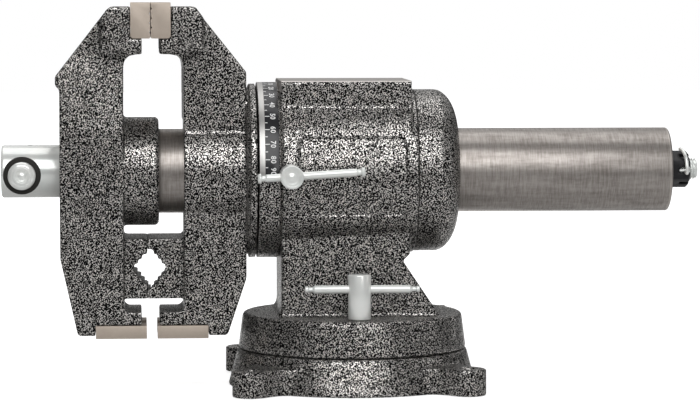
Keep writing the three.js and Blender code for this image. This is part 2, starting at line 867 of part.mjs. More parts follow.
// The nut's stem, or with a gap the pocket that it fills
function nutStem(gap) {
  const front = nutFront + nutStemInset - gap;
  const rear = nutRear - nutStemInset + gap;
  const half = nutStemHalfWidth + gap;
  return box(front, rear, -half, half, -nutStemEnd - gap, -spindleRadius - overrun);
}

function mainNut() {
  const section = ring(nutFront, nutRear, spindleRadius + fitGap, tubeBoreRadius - slideGap);
  return turnedX(section, middleFacets).add(nutStem(0));
}

function rearCap() {
  const seatDepth = sleeveRear + fitGap;
  const shoulder = capRear - capRoundLength;
  const bore = tubeRadius + slideGap;
  const dome = [];
  for (let step = 0; step <= capRoundFacets; step++) {
    const angle = (step / capRoundFacets) * (Math.PI / 2);
    const along = shoulder + capRoundLength * Math.sin(angle);
    dome.push([along, capRadius - (capRadius - bore - capLip) * (1 - Math.cos(angle))]);
  }
  const body = turnedX([
    [capFront, sleeveRadius + fitGap],
    [capFront, capRadius],
    ...dome,
    [capRear, bore],
    [seatDepth, bore],
    [seatDepth, sleeveRadius + fitGap],
    [capFront, sleeveRadius + fitGap],
  ]);
  return without(body, capScrewPlaces().map(([y, z]) => capScrewSeat(y, z)));
}

// Top plate with shallow grooves across its face; shift moves the grooves by a share of the pitch
function topPlate(reach, shift) {
  const face = fitGap / 2;
  const high = topPlateLow + topPlateHeight;
  const points = [[face, topPlateLow + plateEdge / 2]];
  const width = toothPitch * toothShare;
  for (let low = topPlateLow + toothPitch * shift; low + width < high; low += toothPitch) {
    points.push([face, low], [face + toothDepth, low + width / 2], [face, low + width]);
  }
  points.push([face, high], [topPlateThickness, high]);
  points.push([topPlateThickness, topPlateLow + plateEdge], [topPlateThickness - plateEdge, topPlateLow]);
  points.push([face + plateEdge / 2, topPlateLow]);
  const shape = outline(points.map(([depth, up]) => [reach(depth), up]));
  const plate = alongY(shape, -jawWidth / 2, jawWidth / 2);
  return without(plate, seatsAcross(plateScrew, reach));
}

function veePlate(jaw, reach) {
  const [face, rear] = [jaw.veeFace, jaw.veeFace + veePlateLength];
  const points = [
    [face, -veePlateHalfWidth],
    [face, -veeHalfWidth],
    [face + veeDepth, 0],
    [face, veeHalfWidth],
    [face, veePlateHalfWidth],
    [rear, veePlateHalfWidth],
    [rear, -veePlateHalfWidth],
  ];
  const low = -jawBottom - veePlateProud;
  const plate = alongZ(outline(points.map(([depth, y]) => [reach(depth), y])), low, low + veePlateThickness);
  return without(plate, seatsBelow(veeScrew, reach));
}

function slideTube() {
  const slotFront = nutFront + nutStemInset - slotMargin;
  const slotRear = nutRear - nutStemInset + jawTravel + slotMargin;
  const half = nutStemHalfWidth + slideGap;
  const tube = turnedX([
    [tubeFront, tubeBoreRadius],
    [tubeFront, tubeRadius],
    [tubeRear - tubeEdge, tubeRadius],
    [tubeRear, tubeRadius - tubeEdge],
    [tubeRear, tubeBoreRadius],
    [tubeFront, tubeBoreRadius],
  ]);
  return tube.subtract(box(slotFront, slotRear, -half, half, -tubeRadius - overrun, -spindleRadius));
}

function spindle() {
  const shoulder = toMoving(moving.back) - fitGap;
  const threadRear = tubeRear - bushLength - threadGap;
  const studRear = tubeRear + studReach;
  const body = turnedX([
    [spindleFront, 0],
    [spindleFront, spindleHeadRadius - spindleHeadEdge],
    [spindleFront + spindleHeadEdge / 3, spindleHeadRadius - spindleHeadEdge / 3],
    [spindleFront + spindleHeadEdge, spindleHeadRadius],
    [shoulder, spindleHeadRadius],
    [shoulder, spindleRadius],
    [threadRear, spindleRadius],
    [threadRear, studRadius],
    [studRear - studEdge, studRadius],
    [studRear, studRadius - studEdge],
    [studRear, 0],
  ], middleFacets);
  const reach = spindleHeadRadius + overrun;
  const crossHole = turnedY(rod(-reach, reach, tommyRadius + fitGap), middleFacets, tommyX);
  const pinHole = turnedY(rod(-reach, reach, pinRadius + fitGap), smallFacets, pinPlace());
  return body.subtract(crossHole).subtract(pinHole);
}

function pinPlace() {
  return tubeRear + fitGap + castleSolidLength + (castleNutLength - castleSolidLength) / 2;
}

// Slotted nut: a hexagon whose rear end is chamfered and cut by slots across its flats
function castleNut() {
  const front = tubeRear + fitGap;
  const rear = front + castleNutLength;
  const corner = castleNutAcross / Math.sqrt(3);
  const hexagon = new THREE.CylinderGeometry(corner, corner, castleNutLength, 6).rotateZ(-Math.PI / 2);
  const chamfer = turnedX([
    [front - overrun, 0],
    [front - overrun, corner + overrun],
    [rear - 2 * castleChamfer, 2 * corner - castleEndRadius],
    [rear, castleEndRadius],
    [rear, 0],
  ], middleFacets);
  let body = solid(hexagon.translate((front + rear) / 2, 0, 0)).intersect(chamfer);
  body = body.subtract(turnedX(rod(front - overrun, rear + overrun, studRadius + fitGap), smallFacets));
  const half = castleSlotWidth / 2;
  for (let slot = 0; slot < castleSlots / 2; slot++) {
    const turn = [(slot * 2 * Math.PI) / castleSlots, 0, 0];
    const cut = box(front + castleSolidLength, rear + overrun, -corner, corner, -half, half);
    body = body.subtract(turnedTo(cut, turn));
  }
  return body;
}

// Split pin: an eye on the far side, a straight run through the stud and a leg bent up round the nut
function splitPin() {
  const x = pinPlace();
  const legRadius = castleNutAcross / Math.sqrt(3) + pinRadius + fitGap;
  const eye = pinReach + pinEyeRadius;
  const loop = (angle) => new THREE.Vector3(
    x + pinEyeRadius * Math.sin(angle),
    eye + pinEyeRadius * Math.cos(angle),
    0,
  );
  const leg = (angle) => new THREE.Vector3(x, -legRadius * Math.cos(angle), legRadius * Math.sin(angle));
  const route = new THREE.CatmullRomCurve3([
    ...pinLoopShares.map((share) => loop((share - 1 / 2) * 2 * Math.PI)),
    ...pinRunShares.map((share) => new THREE.Vector3(x, -share * pinReach, 0)),
    ...pinLegShares.map((share) => leg((share * Math.PI) / 2)),
  ]);
  const section = new THREE.Shape().absarc(0, 0, pinRadius, 0, 2 * Math.PI);
  const options = { extrudePath: route, steps: pinSteps, curveSegments: cornerFacets };
  return solid(new THREE.ExtrudeGeometry(section, options));
}

function tommyCap(end, way) {
  const inner = end - way * tommyCapLength;
  const profile = [
    [end - way * tommyDimpleDepth, 0],
    [end - way * tommyDimpleDepth, tommyDimpleRadius],
    [end, tommyDimpleRadius + tommyDimpleDepth / 2],
    [end, tommyFaceRadius],
    [end - way * tommyCapEdge, tommyCapRadius],
    [inner, tommyCapRadius],
    [inner, tommyTenonRadius + fitGap],
    [inner + way * tommyTenonLength, tommyTenonRadius + fitGap],
    [inner + way * tommyTenonLength, 0],
  ];
  return turnedY(way > 0 ? profile.reverse() : profile, middleFacets, tommyX);
}

function tommyBar() {
  const near = tommyNear + tommyCapLength + fitGap;
  const far = tommyFar - tommyCapLength - fitGap;
  return turnedY([
    [near - tommyTenonLength, 0],
    [near - tommyTenonLength, tommyTenonRadius],
    [near, tommyTenonRadius],
    [near, tommyRadius],
    [far, tommyRadius],
    [far, tommyTenonRadius],
    [far + tommyTenonLength, tommyTenonRadius],
    [far + tommyTenonLength, 0],
  ], middleFacets, tommyX);
}

// A rubber ring with rounded rim behind each cap
function tommyRing(end, way) {
  const outer = end - way * (tommyCapLength + fitGap);
  const inner = outer - way * tommyRingWidth;
  const [low, high] = [Math.min(inner, outer), Math.max(inner, outer)];
  const edge = tommyRingWidth / 4;
  return turnedY([
    [low, tommyRadius + fitGap],
    [low, tommyRingRadius - edge],
    [low + edge, tommyRingRadius],
    [high - edge, tommyRingRadius],
    [high, tommyRingRadius - edge],
    [high, tommyRadius + fitGap],
    [low, tommyRadius + fitGap],
  ], middleFacets, tommyX);
}

// Base, turntable and swivel locks
add(vise, "swivel_base", swivelBase(), hammertone);
add(vise, "body_casting", bodyCasting(), hammertone);
add(head, "degree_scale", degreeScale(), printedScale);
const swivelBar = slidingBar(
  lockBarFront, lockBarRear, lockBarRadius, lockTipNeckRadius, lockTipRadius, lockTipLength,
);
for (const [name, side] of sides) {
  const place = [swivelLockX, side * lockRadius, 0];
  add(vise, `swivel_bolt_${name}`, swivelBolt(), zinc, place);
  add(vise, `swivel_lock_nut_${name}`, lockNut(), zinc, place);
  add(vise, `swivel_lock_bar_${name}`, swivelBar, zinc, [place[0], place[1], deckTop + lockBarLift]);
}

// Head lock on the barrel's near side
const pad = rod(-hubScrewEnd + fitGap, -hubScrewEnd + fitGap + padLength, hubScrewRadius - fitGap);
const headBar = slidingBar(
  headBarFront, headBarRear, headBarRadius, headTipNeckRadius, headTipRadius, headTipLength,
);
add(head, "head_lock_screw", headLockScrew(), zinc, [headLockX, 0, 0], [0, -headBarTilt, 0]);
add(head, "head_lock_pad", turnedY(pad), brass, [headLockX, 0, 0]);
add(head, "head_lock_bar", headBar, zinc, [headLockX, -headBarPlane, 0], [0, -headBarTilt, 0]);

// Fixed jaw, main nut and rear cap
add(head, "fixed_jaw", fixedJaw(), hammertone);
add(head, "main_nut", mainNut(), brass);
add(head, "rear_cap", rearCap(), hammertone);
capScrewPlaces().forEach(([y, z], index) => {
  const place = [capScrewTop, y, z];
  add(head, `rear_cap_screw_${index + 1}`, socketScrew(capScrew), zinc, place, [0, Math.PI / 2, 0]);
});

// Slide tube and moving jaw
add(head, "moving_jaw", movingJaw(), hammertone);
add(head, "slide_tube", slideTube(), drawnTube);
const bush = ring(tubeRear - bushLength, tubeRear, studRadius + fitGap, tubeBoreRadius - fitGap);
add(head, "rear_bush", turnedX(bush, middleFacets), bareSteel);
const setSocket = new THREE.CylinderGeometry(setScrew.key, setScrew.key, setScrew.length, 6);
const jawSetScrew = turnedY(rod(0, setScrew.length, setScrew.radius)).subtract(
  solid(setSocket.translate(0, setScrew.length, 0)),
);
add(head, "jaw_set_screw", jawSetScrew, zinc, [toMoving(setScrewDepth), tubeRadius + fitGap, 0]);

// Plates and their screws on both jaws
for (const [name, jaw, reach, shift] of [["moving", moving, toMoving, 1 / 2], ["fixed", fixed, toFixed, 1]]) {
  const across = [0, (-Math.sign(reach(1) - reach(0)) * Math.PI) / 2, 0];
  const plateMiddle = topPlateLow + topPlateHeight / 2;
  const veeScrewLow = -jawBottom - veePlateProud + veeScrew.recess;
  add(head, `${name}_top_plate`, topPlate(reach, shift), bareSteel);
  add(head, `${name}_vee_plate`, veePlate(jaw, reach), bareSteel);
  for (const [sideName, side] of sides) {
    const topPlace = [reach(toothDepth + plateScrew.recess), side * plateScrewSpread, plateMiddle];
    const veePlace = [reach(veeScrewDepth), side * veeScrewSpread, veeScrewLow];
    add(head, `${name}_top_screw_${sideName}`, socketScrew(plateScrew), zinc, topPlace, across);
    add(head, `${name}_vee_screw_${sideName}`, socketScrew(veeScrew, true), zinc, veePlace, [Math.PI, 0, 0]);
  }
}

// Spindle, castle nut, split pin and tommy bar
add(head, "spindle", spindle(), zinc);
add(head, "castle_nut", castleNut(), blackOxide);
add(head, "split_pin", splitPin(), zinc);
add(head, "tommy_bar", tommyBar(), zinc);
for (const [name, end, way] of [["near", tommyNear, -1], ["far", tommyFar, 1]]) {
  add(head, `tommy_cap_${name}`, tommyCap(end, way), zinc);
  add(head, `tommy_ring_${name}`, tommyRing(end, way), rubber);
}

export default vise;
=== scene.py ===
import math
import bmesh
import bpy
from mathutils import Matrix, Vector


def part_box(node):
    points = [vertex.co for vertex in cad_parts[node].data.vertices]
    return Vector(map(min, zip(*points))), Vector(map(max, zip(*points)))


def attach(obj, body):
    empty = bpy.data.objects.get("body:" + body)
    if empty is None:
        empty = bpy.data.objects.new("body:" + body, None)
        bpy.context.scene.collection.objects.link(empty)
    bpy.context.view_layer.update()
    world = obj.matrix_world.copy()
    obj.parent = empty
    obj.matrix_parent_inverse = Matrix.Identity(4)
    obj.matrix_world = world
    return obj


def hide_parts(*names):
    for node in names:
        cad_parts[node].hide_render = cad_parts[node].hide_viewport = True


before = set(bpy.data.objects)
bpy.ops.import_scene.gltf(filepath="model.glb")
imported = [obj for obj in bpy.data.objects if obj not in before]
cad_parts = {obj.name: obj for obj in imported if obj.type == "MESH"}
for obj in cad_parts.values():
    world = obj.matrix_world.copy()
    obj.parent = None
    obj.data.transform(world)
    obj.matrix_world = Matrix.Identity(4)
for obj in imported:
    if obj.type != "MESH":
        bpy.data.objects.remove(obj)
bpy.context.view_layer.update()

# ---- Swivel base
# A round grey iron casting with four bolt ears, sprayed with hammertone enamel over soft cast corners.
# Its foot is faced flat for the bench, and a ring slot under its top holds the swivel bolts.
mm = 0.001


def add_node(tree, kind, inputs=(), **settings):
    """A shader node with its settings, and with its sockets set to values or joined to other sockets."""
    made = tree.nodes.new("ShaderNode" + kind)
    for key, value in settings.items():
        setattr(made, key, value)
    for key, value in dict(inputs).items():
        if isinstance(value, bpy.types.NodeSocket):
            tree.links.new(value, made.inputs[key])
        else:
            made.inputs[key].default_value = value
    return made


def new_group(name, inputs, outputs):
    """An empty node group with named sockets, and its own input and output nodes."""
    tree = bpy.data.node_groups.new(name, "ShaderNodeTree")
    for socket, kind in inputs:
        tree.interface.new_socket(socket, in_out="INPUT", socket_type="NodeSocket" + kind)
    for socket, kind in outputs:
        tree.interface.new_socket(socket, in_out="OUTPUT", socket_type="NodeSocket" + kind)
    return tree, tree.nodes.new("NodeGroupInput"), tree.nodes.new("NodeGroupOutput")


def use_group(tree, group, **sockets):
    """One copy of a node group inside a material."""
    return add_node(tree, "Group", sockets, node_tree=group)


def noise(tree, place, scale, **sockets):
    """The grey clouds of a noise texture."""
    return add_node(tree, "TexNoise", {"Vector": place, "Scale": scale, **sockets}).outputs["Fac"]


def calc(tree, operation, first, second):
    """One step of arithmetic on two values."""
    return add_node(tree, "Math", {0: first, 1: second}, operation=operation).outputs[0]


def ranged(tree, value, low=0.0, high=1.0, start=0.0, end=1.0, **settings):
    """Stretches a value that runs from start to end so that it runs from low to high."""
    inputs = {"Value": value, "From Min": start, "From Max": end, "To Min": low, "To Max": high}
    return add_node(tree, "MapRange", inputs, **settings).outputs["Result"]


def tinted(tree, share, first, second):
    """Goes from one colour to another as the share rises from 0 to 1."""
    return add_node(tree, "Mix", {"Factor": share, 6: first, 7: second}, data_type="RGBA").outputs[2]


def relief(tree, height, strength, depth):
    """The normals of a surface with a fine relief, its depth in millimetres."""
    bump = add_node(tree, "Bump", {"Height": height, "Strength": strength, "Distance": depth * mm})
    return bump.outputs["Normal"]


def new_material(name, **sockets):
    """A material whose plain values are set on its shader's own sockets."""
    material = bpy.data.materials.new(name)
    material.use_nodes = True
    tree = material.node_tree
    for key, value in sockets.items():
        tree.nodes["Principled BSDF"].inputs[key.replace("_", " ")].default_value = value
    return material, tree, tree.nodes.new("ShaderNodeTexCoord").outputs["Object"]


def dress(tree, **looks):
    """Joins what changes over a surface to the shader's sockets of those names."""
    for key, value in looks.items():
        tree.links.new(value, tree.nodes["Principled BSDF"].inputs[key.replace("_", " ")])


# Hammertone enamel: bright metal flecks that join into short worms over a black ground
speckle, source, sink = new_group(
    "hammer_speckle",
    [("Vector", "Vector"), ("Size", "Float"), ("Spread", "Float")],
    [("Fleck", "Float"), ("Relief", "Float")],
)
half_bare, cloud_share = 0.556, 0.12
size, spread = source.outputs["Size"], source.outputs["Spread"]
askew = add_node(speckle, "Mapping", {"Vector": source.outputs["Vector"], "Rotation": (0.5, 0.4, 0.7)})
worms = noise(speckle, askew.outputs[0], size, Detail=0.6, Roughness=0.5, Distortion=0.3)
fleck = ranged(speckle, worms, start=calc(speckle, "SUBTRACT", half_bare, spread),
               end=calc(speckle, "ADD", half_bare, spread), interpolation_type="SMOOTHSTEP")
broad = calc(speckle, "MULTIPLY", size, cloud_share)
clouds = noise(speckle, askew.outputs[0], broad, Detail=2.0, Roughness=0.6)
shade = ranged(speckle, clouds, low=0.7, high=1.15, start=0.3, end=0.7)
speckle.links.new(calc(speckle, "MULTIPLY", fleck, shade), sink.inputs["Fleck"])
speckle.links.new(worms, sink.inputs["Relief"])

black_ground = (0.002, 0.002, 0.0019, 1)
silver_fleck = (0.8, 0.775, 0.745, 1)
fleck_metal, enamel_relief = 0.85, 0.35


def hammertone(name):
    """Hammertone enamel: metal flecks in a black lacquer, with the low relief that they leave."""
    material, tree, place = new_material(name, Specular_IOR_Level=0.1)
    paint = use_group(tree, speckle, Vector=place, Size=1150.0, Spread=0.02)
    flecks = paint.outputs["Fleck"]
    dress(tree, Base_Color=tinted(tree, flecks, black_ground, silver_fleck),
          Roughness=ranged(tree, flecks, low=0.4, high=0.32),
          Metallic=calc(tree, "MULTIPLY", flecks, fleck_metal),
          Normal=relief(tree, paint.outputs["Relief"], enamel_relief, depth=0.2))
    return material


def put(name, data):
    """Makes an object of some data and puts it in the scene."""
    obj = bpy.data.objects.new(name, data)
    bpy.context.collection.objects.link(obj)
    return obj


def mesh_of(obj):
    """The mesh that a curve, a text or a shape with a modifier comes to; the object itself goes."""
    mesh = bpy.data.meshes.new_from_object(obj.evaluated_get(bpy.context.evaluated_depsgraph_get()))
    bpy.data.objects.remove(obj)
    return mesh


def as_mesh(bm, name="piece"):
    """Turns a bmesh into a mesh and frees it."""
    mesh = bpy.data.meshes.new(name)
    bm.to_mesh(mesh)
    bm.free()
    return mesh


def as_bmesh(mesh):
    """Turns a mesh into a bmesh."""
    bm = bmesh.new()
    bm.from_mesh(mesh)
    return bm


def made_by(modifier, bm, **settings):
    """What a modifier makes of a shape, as a new bmesh."""
    blank = put("blank", as_mesh(bm))
    step = blank.modifiers.new("step", modifier)
    for key, value in settings.items():
        setattr(step, key, value)
    return as_bmesh(mesh_of(blank))


def merged_copy(node):
    """The frame's shape of one node, with its loose triangles joined."""
    bm = as_bmesh(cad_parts[node].data)
    bmesh.ops.remove_doubles(bm, verts=bm.verts, dist=1e-6)
    return bm


most_triangles = 170000


def cast_copy(node, grid=1.0, passes=3, crisp=lambda place: False):
    """A casting with the soft corners that sand and paint leave, except where it is crisp."""
    bm = made_by("REMESH", merged_copy(node), mode="VOXEL", voxel_size=grid * mm)
    soft = [vertex for vertex in bm.verts if not crisp(vertex.co)]
    for _ in range(passes):
        bmesh.ops.smooth_vert(bm, verts=soft, factor=0.5, use_axis_x=True, use_axis_y=True, use_axis_z=True)
    return bm


def thinned(bm):
    """The same surface with few enough triangles, most of them left at the edges."""
    share = most_triangles / sum(len(face.verts) - 2 for face in bm.faces)
    return made_by("DECIMATE", bm, ratio=share) if share < 1 else bm


def piece(name, bm, material, body, sharp=35, replaced=()):
    """Puts a finished shape in the scene, riding on its body and standing for its nodes."""
    for face in bm.faces:
        face.smooth = True
    for edge in bm.edges:
        edge.smooth = edge.calc_face_angle(0) < math.radians(sharp)
    obj = put(name, as_mesh(bm, name))
    obj.data.materials.append(material)
    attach(obj, body)
    if replaced:
        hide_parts(*replaced)
    return obj


cast_sharp = 80
enamel = hammertone("hammertone_enamel")
base = thinned(cast_copy("swivel_base", grid=1.1, passes=4))
piece("cast_base", base, enamel, "base", cast_sharp, ["swivel_base"])

# ---- Turntable, pedestal, barrel and anvil
# One iron casting that turns on the base: a round deck, a pedestal with a sloping back and a bored barrel.
# It is enamelled except for the anvil's top, milled bright after painting, and a painted highlight: a strip
# below the anvil's front edge in the same bright steel colour.
anvil_top, milled_skin, crisp_skin = 228.0, 0.7, 2.5
barrel_axis, barrel_front = 160.0, -55.5
highlight_strip_depth, highlight_strip_height = 0.8, 8


def stretched(tree, place, scale):
    """The places of a pattern that is drawn out along an axis."""
    return add_node(tree, "Mapping", {"Vector": place, "Scale": scale}).outputs[0]


def between(tree, share, first, second):
    """Goes from one value to another as the share rises from 0 to 1."""
    return add_node(tree, "Mix", {"Factor": share, 2: first, 3: second}).outputs[0]


# Milled steel: the fine lines that a cutter leaves, and broad patches of staining
milled, source, sink = new_group(
    "milled_lines",
    [("Vector", "Vector"), ("Size", "Float")],
    [("Lines", "Float"), ("Stain", "Float")],
)
lines = noise(milled, source.outputs["Vector"], source.outputs["Size"], Detail=3.0, Roughness=0.7)
patches = noise(milled, source.outputs["Vector"], scale=9.0, Detail=3.0, Roughness=0.6)
milled.links.new(lines, sink.inputs["Lines"])
milled.links.new(patches, sink.inputs["Stain"])

cast_body_paint = hammertone("hammertone_with_milled_anvil_and_highlight")
tree = cast_body_paint.node_tree
shader = tree.nodes["Principled BSDF"]
place = tree.nodes["Texture Coordinate"].outputs["Object"]
split = add_node(tree, "SeparateXYZ", {0: place})
on_top = calc(tree, "GREATER_THAN", split.outputs["Z"], (anvil_top - milled_skin) * mm)
# painted highlight: a strip on the anvil's front face, just below its top, gets the bright milled-steel colour
# where light falls on the paint
at_front = calc(tree, "LESS_THAN", split.outputs["X"], (barrel_front + highlight_strip_depth) * mm)
off_spigot = calc(tree, "GREATER_THAN", split.outputs["X"], (barrel_front - highlight_strip_depth) * mm)
high_up = calc(tree, "GREATER_THAN", split.outputs["Z"], (anvil_top - highlight_strip_height) * mm)
painted_highlight_strip = calc(tree, "MULTIPLY", calc(tree, "MULTIPLY", at_front, high_up), off_spigot)
# the milled top is real bare steel; the front strip is a painted highlight
milled_or_highlight = calc(tree, "MAXIMUM", on_top, painted_highlight_strip)
marks = use_group(tree, milled, Vector=stretched(tree, place, (60, 1.5, 1.5)), Size=40.0)
steel_and_highlight = tinted(tree, marks.outputs["Lines"], (0.5, 0.46, 0.43, 1), (0.78, 0.75, 0.72, 1))
for name, mix, milled_or_highlight_value in (("Base Color", tinted, steel_and_highlight), ("Roughness", between, 0.33),
                              ("Metallic", between, 0.9)):
    painted = shader.inputs[name].links[0].from_socket
    tree.links.new(mix(tree, milled_or_highlight, painted, milled_or_highlight_value), shader.inputs[name])
flat = ranged(tree, milled_or_highlight, low=enamel_relief, high=0.0)
tree.links.new(flat, tree.nodes["Bump"].inputs["Strength"])

panel_front, panel_rear = -43.0, 36.7
panel_low, panel_high = 129.0, 187.5
panel_side, panel_edge = -40, 2.2


def milled_or_panel(place):
    """The milled top, and the band round the sunk panel's edges on the near side."""
    across = max(panel_front - place.x / mm, place.x / mm - panel_rear)
    upright = max(panel_low - place.z / mm, place.z / mm - panel_high)
    at_panel = place.y < panel_side * mm and abs(max(across, upright)) < panel_edge
    return place.z > (anvil_top - crisp_skin) * mm or at_panel


# A narrow groove parts the barrel from its spigot, and a crease runs where the barrel meets the anvil
groove_half, groove_depth, groove_inner, groove_outer = 1.3, 2.4, 55, 66
crease_inner, crease_outer, crease_radius = 59, 66, 64.6
crease_foot, crease_angle, crease_head = 24, 48.0, 60
crease_end, crease_fade = 42.0, 2
body = cast_copy("body_casting", crisp=milled_or_panel)
for vertex in body.verts:
    offset = abs(vertex.co.x / mm - barrel_front)
    radius = math.hypot(vertex.co.y, vertex.co.z - barrel_axis * mm) / mm
    if offset < groove_half and groove_inner < radius < groove_outer:
        sink_by = groove_depth * (1 - offset / groove_half) / radius
        vertex.co.y *= 1 - sink_by
        vertex.co.z -= (vertex.co.z - barrel_axis * mm) * sink_by
for vertex in body.verts:
    along, side, up = vertex.co.x / mm, vertex.co.y / mm, vertex.co.z / mm - barrel_axis
    radius, steep = math.hypot(side, up), math.degrees(math.atan2(up, abs(side)))
    at_crease = crease_inner < radius < crease_outer and crease_foot < steep < crease_head
    if at_crease and barrel_front < along < crease_end:
        risen = min(1.0, (steep - crease_foot) / (crease_angle - crease_foot))
        weight = risen * min(1.0, (crease_end - along) / crease_fade)
        lift = 1 + weight * max(0.0, crease_radius - radius) / radius
        vertex.co.y *= lift
        vertex.co.z = (barrel_axis + up * lift) * mm
piece("cast_body", thinned(body), cast_body_paint, "turntable", cast_sharp, ["body_casting"])

# ---- Degree scale
# A thin aluminium band riveted round the upper half of the barrel's spigot: a bare strip in front and
# a glossy black print behind it, with white ticks every 5 degrees and numbers every 10, 0 at the top.
scale_radius, scale_thickness, scale_steps = 65.3, 0.8, 72
scale_front, scale_print, scale_rear = -71.7, -67.7, -57.3
print_fade = 0.1

scale_finish, tree, place = new_material("printed_aluminium")
split = add_node(tree, "SeparateXYZ", {0: place})
printed = ranged(tree, split.outputs["X"], start=(scale_print - print_fade) * mm,
                 end=(scale_print + print_fade) * mm)
marks = use_group(tree, milled, Vector=stretched(tree, place, (60, 2, 2)), Size=30.0)
bright = tinted(tree, marks.outputs["Lines"], (0.42, 0.41, 0.4, 1), (0.66, 0.65, 0.63, 1))
ink = tinted(tree, marks.outputs["Stain"], (0.012, 0.012, 0.014, 1), (0.03, 0.03, 0.033, 1))
dress(tree, Base_Color=tinted(tree, printed, bright, ink),
      Roughness=ranged(tree, printed, low=0.36, high=0.2),
      Metallic=ranged(tree, printed, low=0.9, high=0.0))


def rounded(bm, width, sharp, segments=2, clamp_overlap=False):
    """Rounds the edges where a shape turns by more than an angle."""
    rims = [edge for edge in bm.edges if edge.calc_face_angle(0) > math.radians(sharp)]
    bmesh.ops.bevel(bm, geom=rims, offset=width * mm, segments=segments, profile=0.5, affect="EDGES",
                    material=-1, clamp_overlap=clamp_overlap)


bm = bmesh.new()
inner, outer = scale_radius * mm, (scale_radius + scale_thickness) * mm
corners = [(scale_front, inner), (scale_rear, inner), (scale_rear, outer), (scale_front, outer)]
section = [bm.verts.new((x * mm, radius, barrel_axis * mm)) for x, radius in corners]
rim = [bm.edges.new((section[index - 1], section[index])) for index in range(4)]
bmesh.ops.spin(bm, geom=section + rim, cent=(0, 0, barrel_axis * mm), axis=(1, 0, 0), angle=math.pi,
               steps=scale_steps)
bmesh.ops.holes_fill(bm, edges=[edge for edge in bm.edges if edge.is_boundary], sides=4)
bmesh.ops.recalc_face_normals(bm, faces=bm.faces)
rounded(bm, width=0.2, sharp=40)
piece("scale_band", bm, scale_finish, "turntable", replaced=["degree_scale"])

white_ink, tree, place = new_material("white_ink", Roughness=0.4)
wear = noise(tree, place, scale=900.0, Detail=2.0)
dress(tree, Base_Color=tinted(tree, wear, (0.75, 0.75, 0.75, 1), (0.95, 0.95, 0.94, 1)))

print_radius = scale_radius + scale_thickness
long_tick, short_tick, tick_width, tick_height = 3.4, 1.8, 0.6, 0.05
tick_gap, end_inset = 0.2, 0.4
bm = bmesh.new()
for degrees in range(-90, 91, 5):
    length = long_tick if degrees % 10 == 0 else short_tick
    block = Matrix.Diagonal((length * mm, tick_width * mm, tick_height * mm, 1))
    tick = bmesh.ops.create_cube(bm, size=1, matrix=block)["verts"]
    middle = scale_print + tick_gap + length / 2
    bmesh.ops.translate(bm, verts=tick, vec=(middle * mm, 0, print_radius * mm))
    if abs(degrees) == 90:
        degrees -= math.copysign(end_inset, degrees)
    turn = Matrix.Rotation(math.radians(degrees), 3, "X")
    bmesh.ops.rotate(bm, verts=tick, cent=(0, 0, 0), matrix=turn)
bmesh.ops.translate(bm, verts=bm.verts, vec=(0, 0, barrel_axis * mm))
piece("scale_ticks", bm, white_ink, "turntable")

number_gap, end_number = 4.3, 87.4
bm = bmesh.new()
for degrees in range(-90, 91, 10):
    number = bpy.data.curves.new("number", "FONT")
    number.body = str(abs(degrees))
    number.size = 5.2
    number.offset = 0.07
    number.space_character = 1.1
    number.extrude = 0.03
    number.align_x = "CENTER"
    start = len(bm.verts)
    bm.from_mesh(mesh_of(put("number", number)))
    bm.verts.ensure_lookup_table()
    centre = math.radians(max(-end_number, min(end_number, degrees)))
    for vertex in bm.verts[start:]:
        across, up, lift = vertex.co
        angle, radius = centre - across / print_radius, (print_radius + lift) * mm
        vertex.co = ((scale_print + number_gap + up) * mm, radius * math.sin(angle),
                     barrel_axis * mm + radius * math.cos(angle))
piece("scale_numbers", bm, white_ink, "turntable")

# ---- Swivel bolts, lock nuts and their sliding bars
# Square-headed bolts stand in the ring slot, and a tall round nut on each pinches the turntable down.
# Nut and bar are turned steel, zinc plated; the bar slides in the nut's cross-hole between swaged tips.
turned_sharp = 30
zinc, tree, place = new_material("zinc_plate", Metallic=0.35)
tint = add_node(tree, "ValToRGB", {"Fac": noise(tree, place, scale=70.0, Detail=3.0, Roughness=0.6)})
tint.color_ramp.elements[0].position = 0.3
tint.color_ramp.elements[0].color = (0.84, 0.87, 0.85, 1)
tint.color_ramp.elements[1].position = 0.72
tint.color_ramp.elements[1].color = (0.95, 0.95, 0.92, 1)
scuffs = use_group(tree, milled, Vector=place, Size=900.0).outputs["Lines"]
dress(tree, Base_Color=tint.outputs["Color"],
      Roughness=ranged(tree, scuffs, low=0.15, high=0.24, start=0.3, end=0.7),
      Normal=relief(tree, scuffs, strength=0.03, depth=0.05))


def turned(profile, edge, steps=64, closed=False, sharp=25):
    """Spins a profile of places along X and radii, in millimetres, into a closed shape with rounded rims."""
    bm = bmesh.new()
    points = [bm.verts.new((along * mm, 0, radius * mm)) for along, radius in profile]
    pairs = list(zip(points, points[1:])) + ([(points[-1], points[0])] if closed else [])
    lines = [bm.edges.new(pair) for pair in pairs]
    bmesh.ops.spin(bm, geom=points + lines, cent=(0, 0, 0), axis=(1, 0, 0), angle=2 * math.pi, steps=steps,
                   use_merge=True)
    bmesh.ops.remove_doubles(bm, verts=bm.verts, dist=1e-6)
    bmesh.ops.recalc_face_normals(bm, faces=bm.faces)
    rounded(bm, edge, sharp, segments=3)
    return bm


def moved(bm, axis="X", x=0.0, y=0.0, z=0.0, tilt=0.0):
    """Lays a shape that was made along X along another axis and takes it to its place."""
    turns = {"X": Matrix.Identity(4), "Y": Matrix.Rotation(math.radians(90), 4, "Z"),
             "Z": Matrix.Rotation(math.radians(-90), 4, "Y")}
    lean = Matrix.Rotation(math.radians(tilt), 4, "Y")
    place = Matrix.Translation((x * mm, y * mm, z * mm))
    bmesh.ops.transform(bm, matrix=place @ lean @ turns[axis], verts=bm.verts)
    return bm


def drilled(bm, drill, operation="DIFFERENCE"):
    """Takes one closed shape out of another, or joins the two."""
    tool = put("tool", as_mesh(drill))
    result = made_by("BOOLEAN", bm, operation=operation, solver="EXACT", object=tool)
    bpy.data.objects.remove(tool)
    return result


keen = 0.01


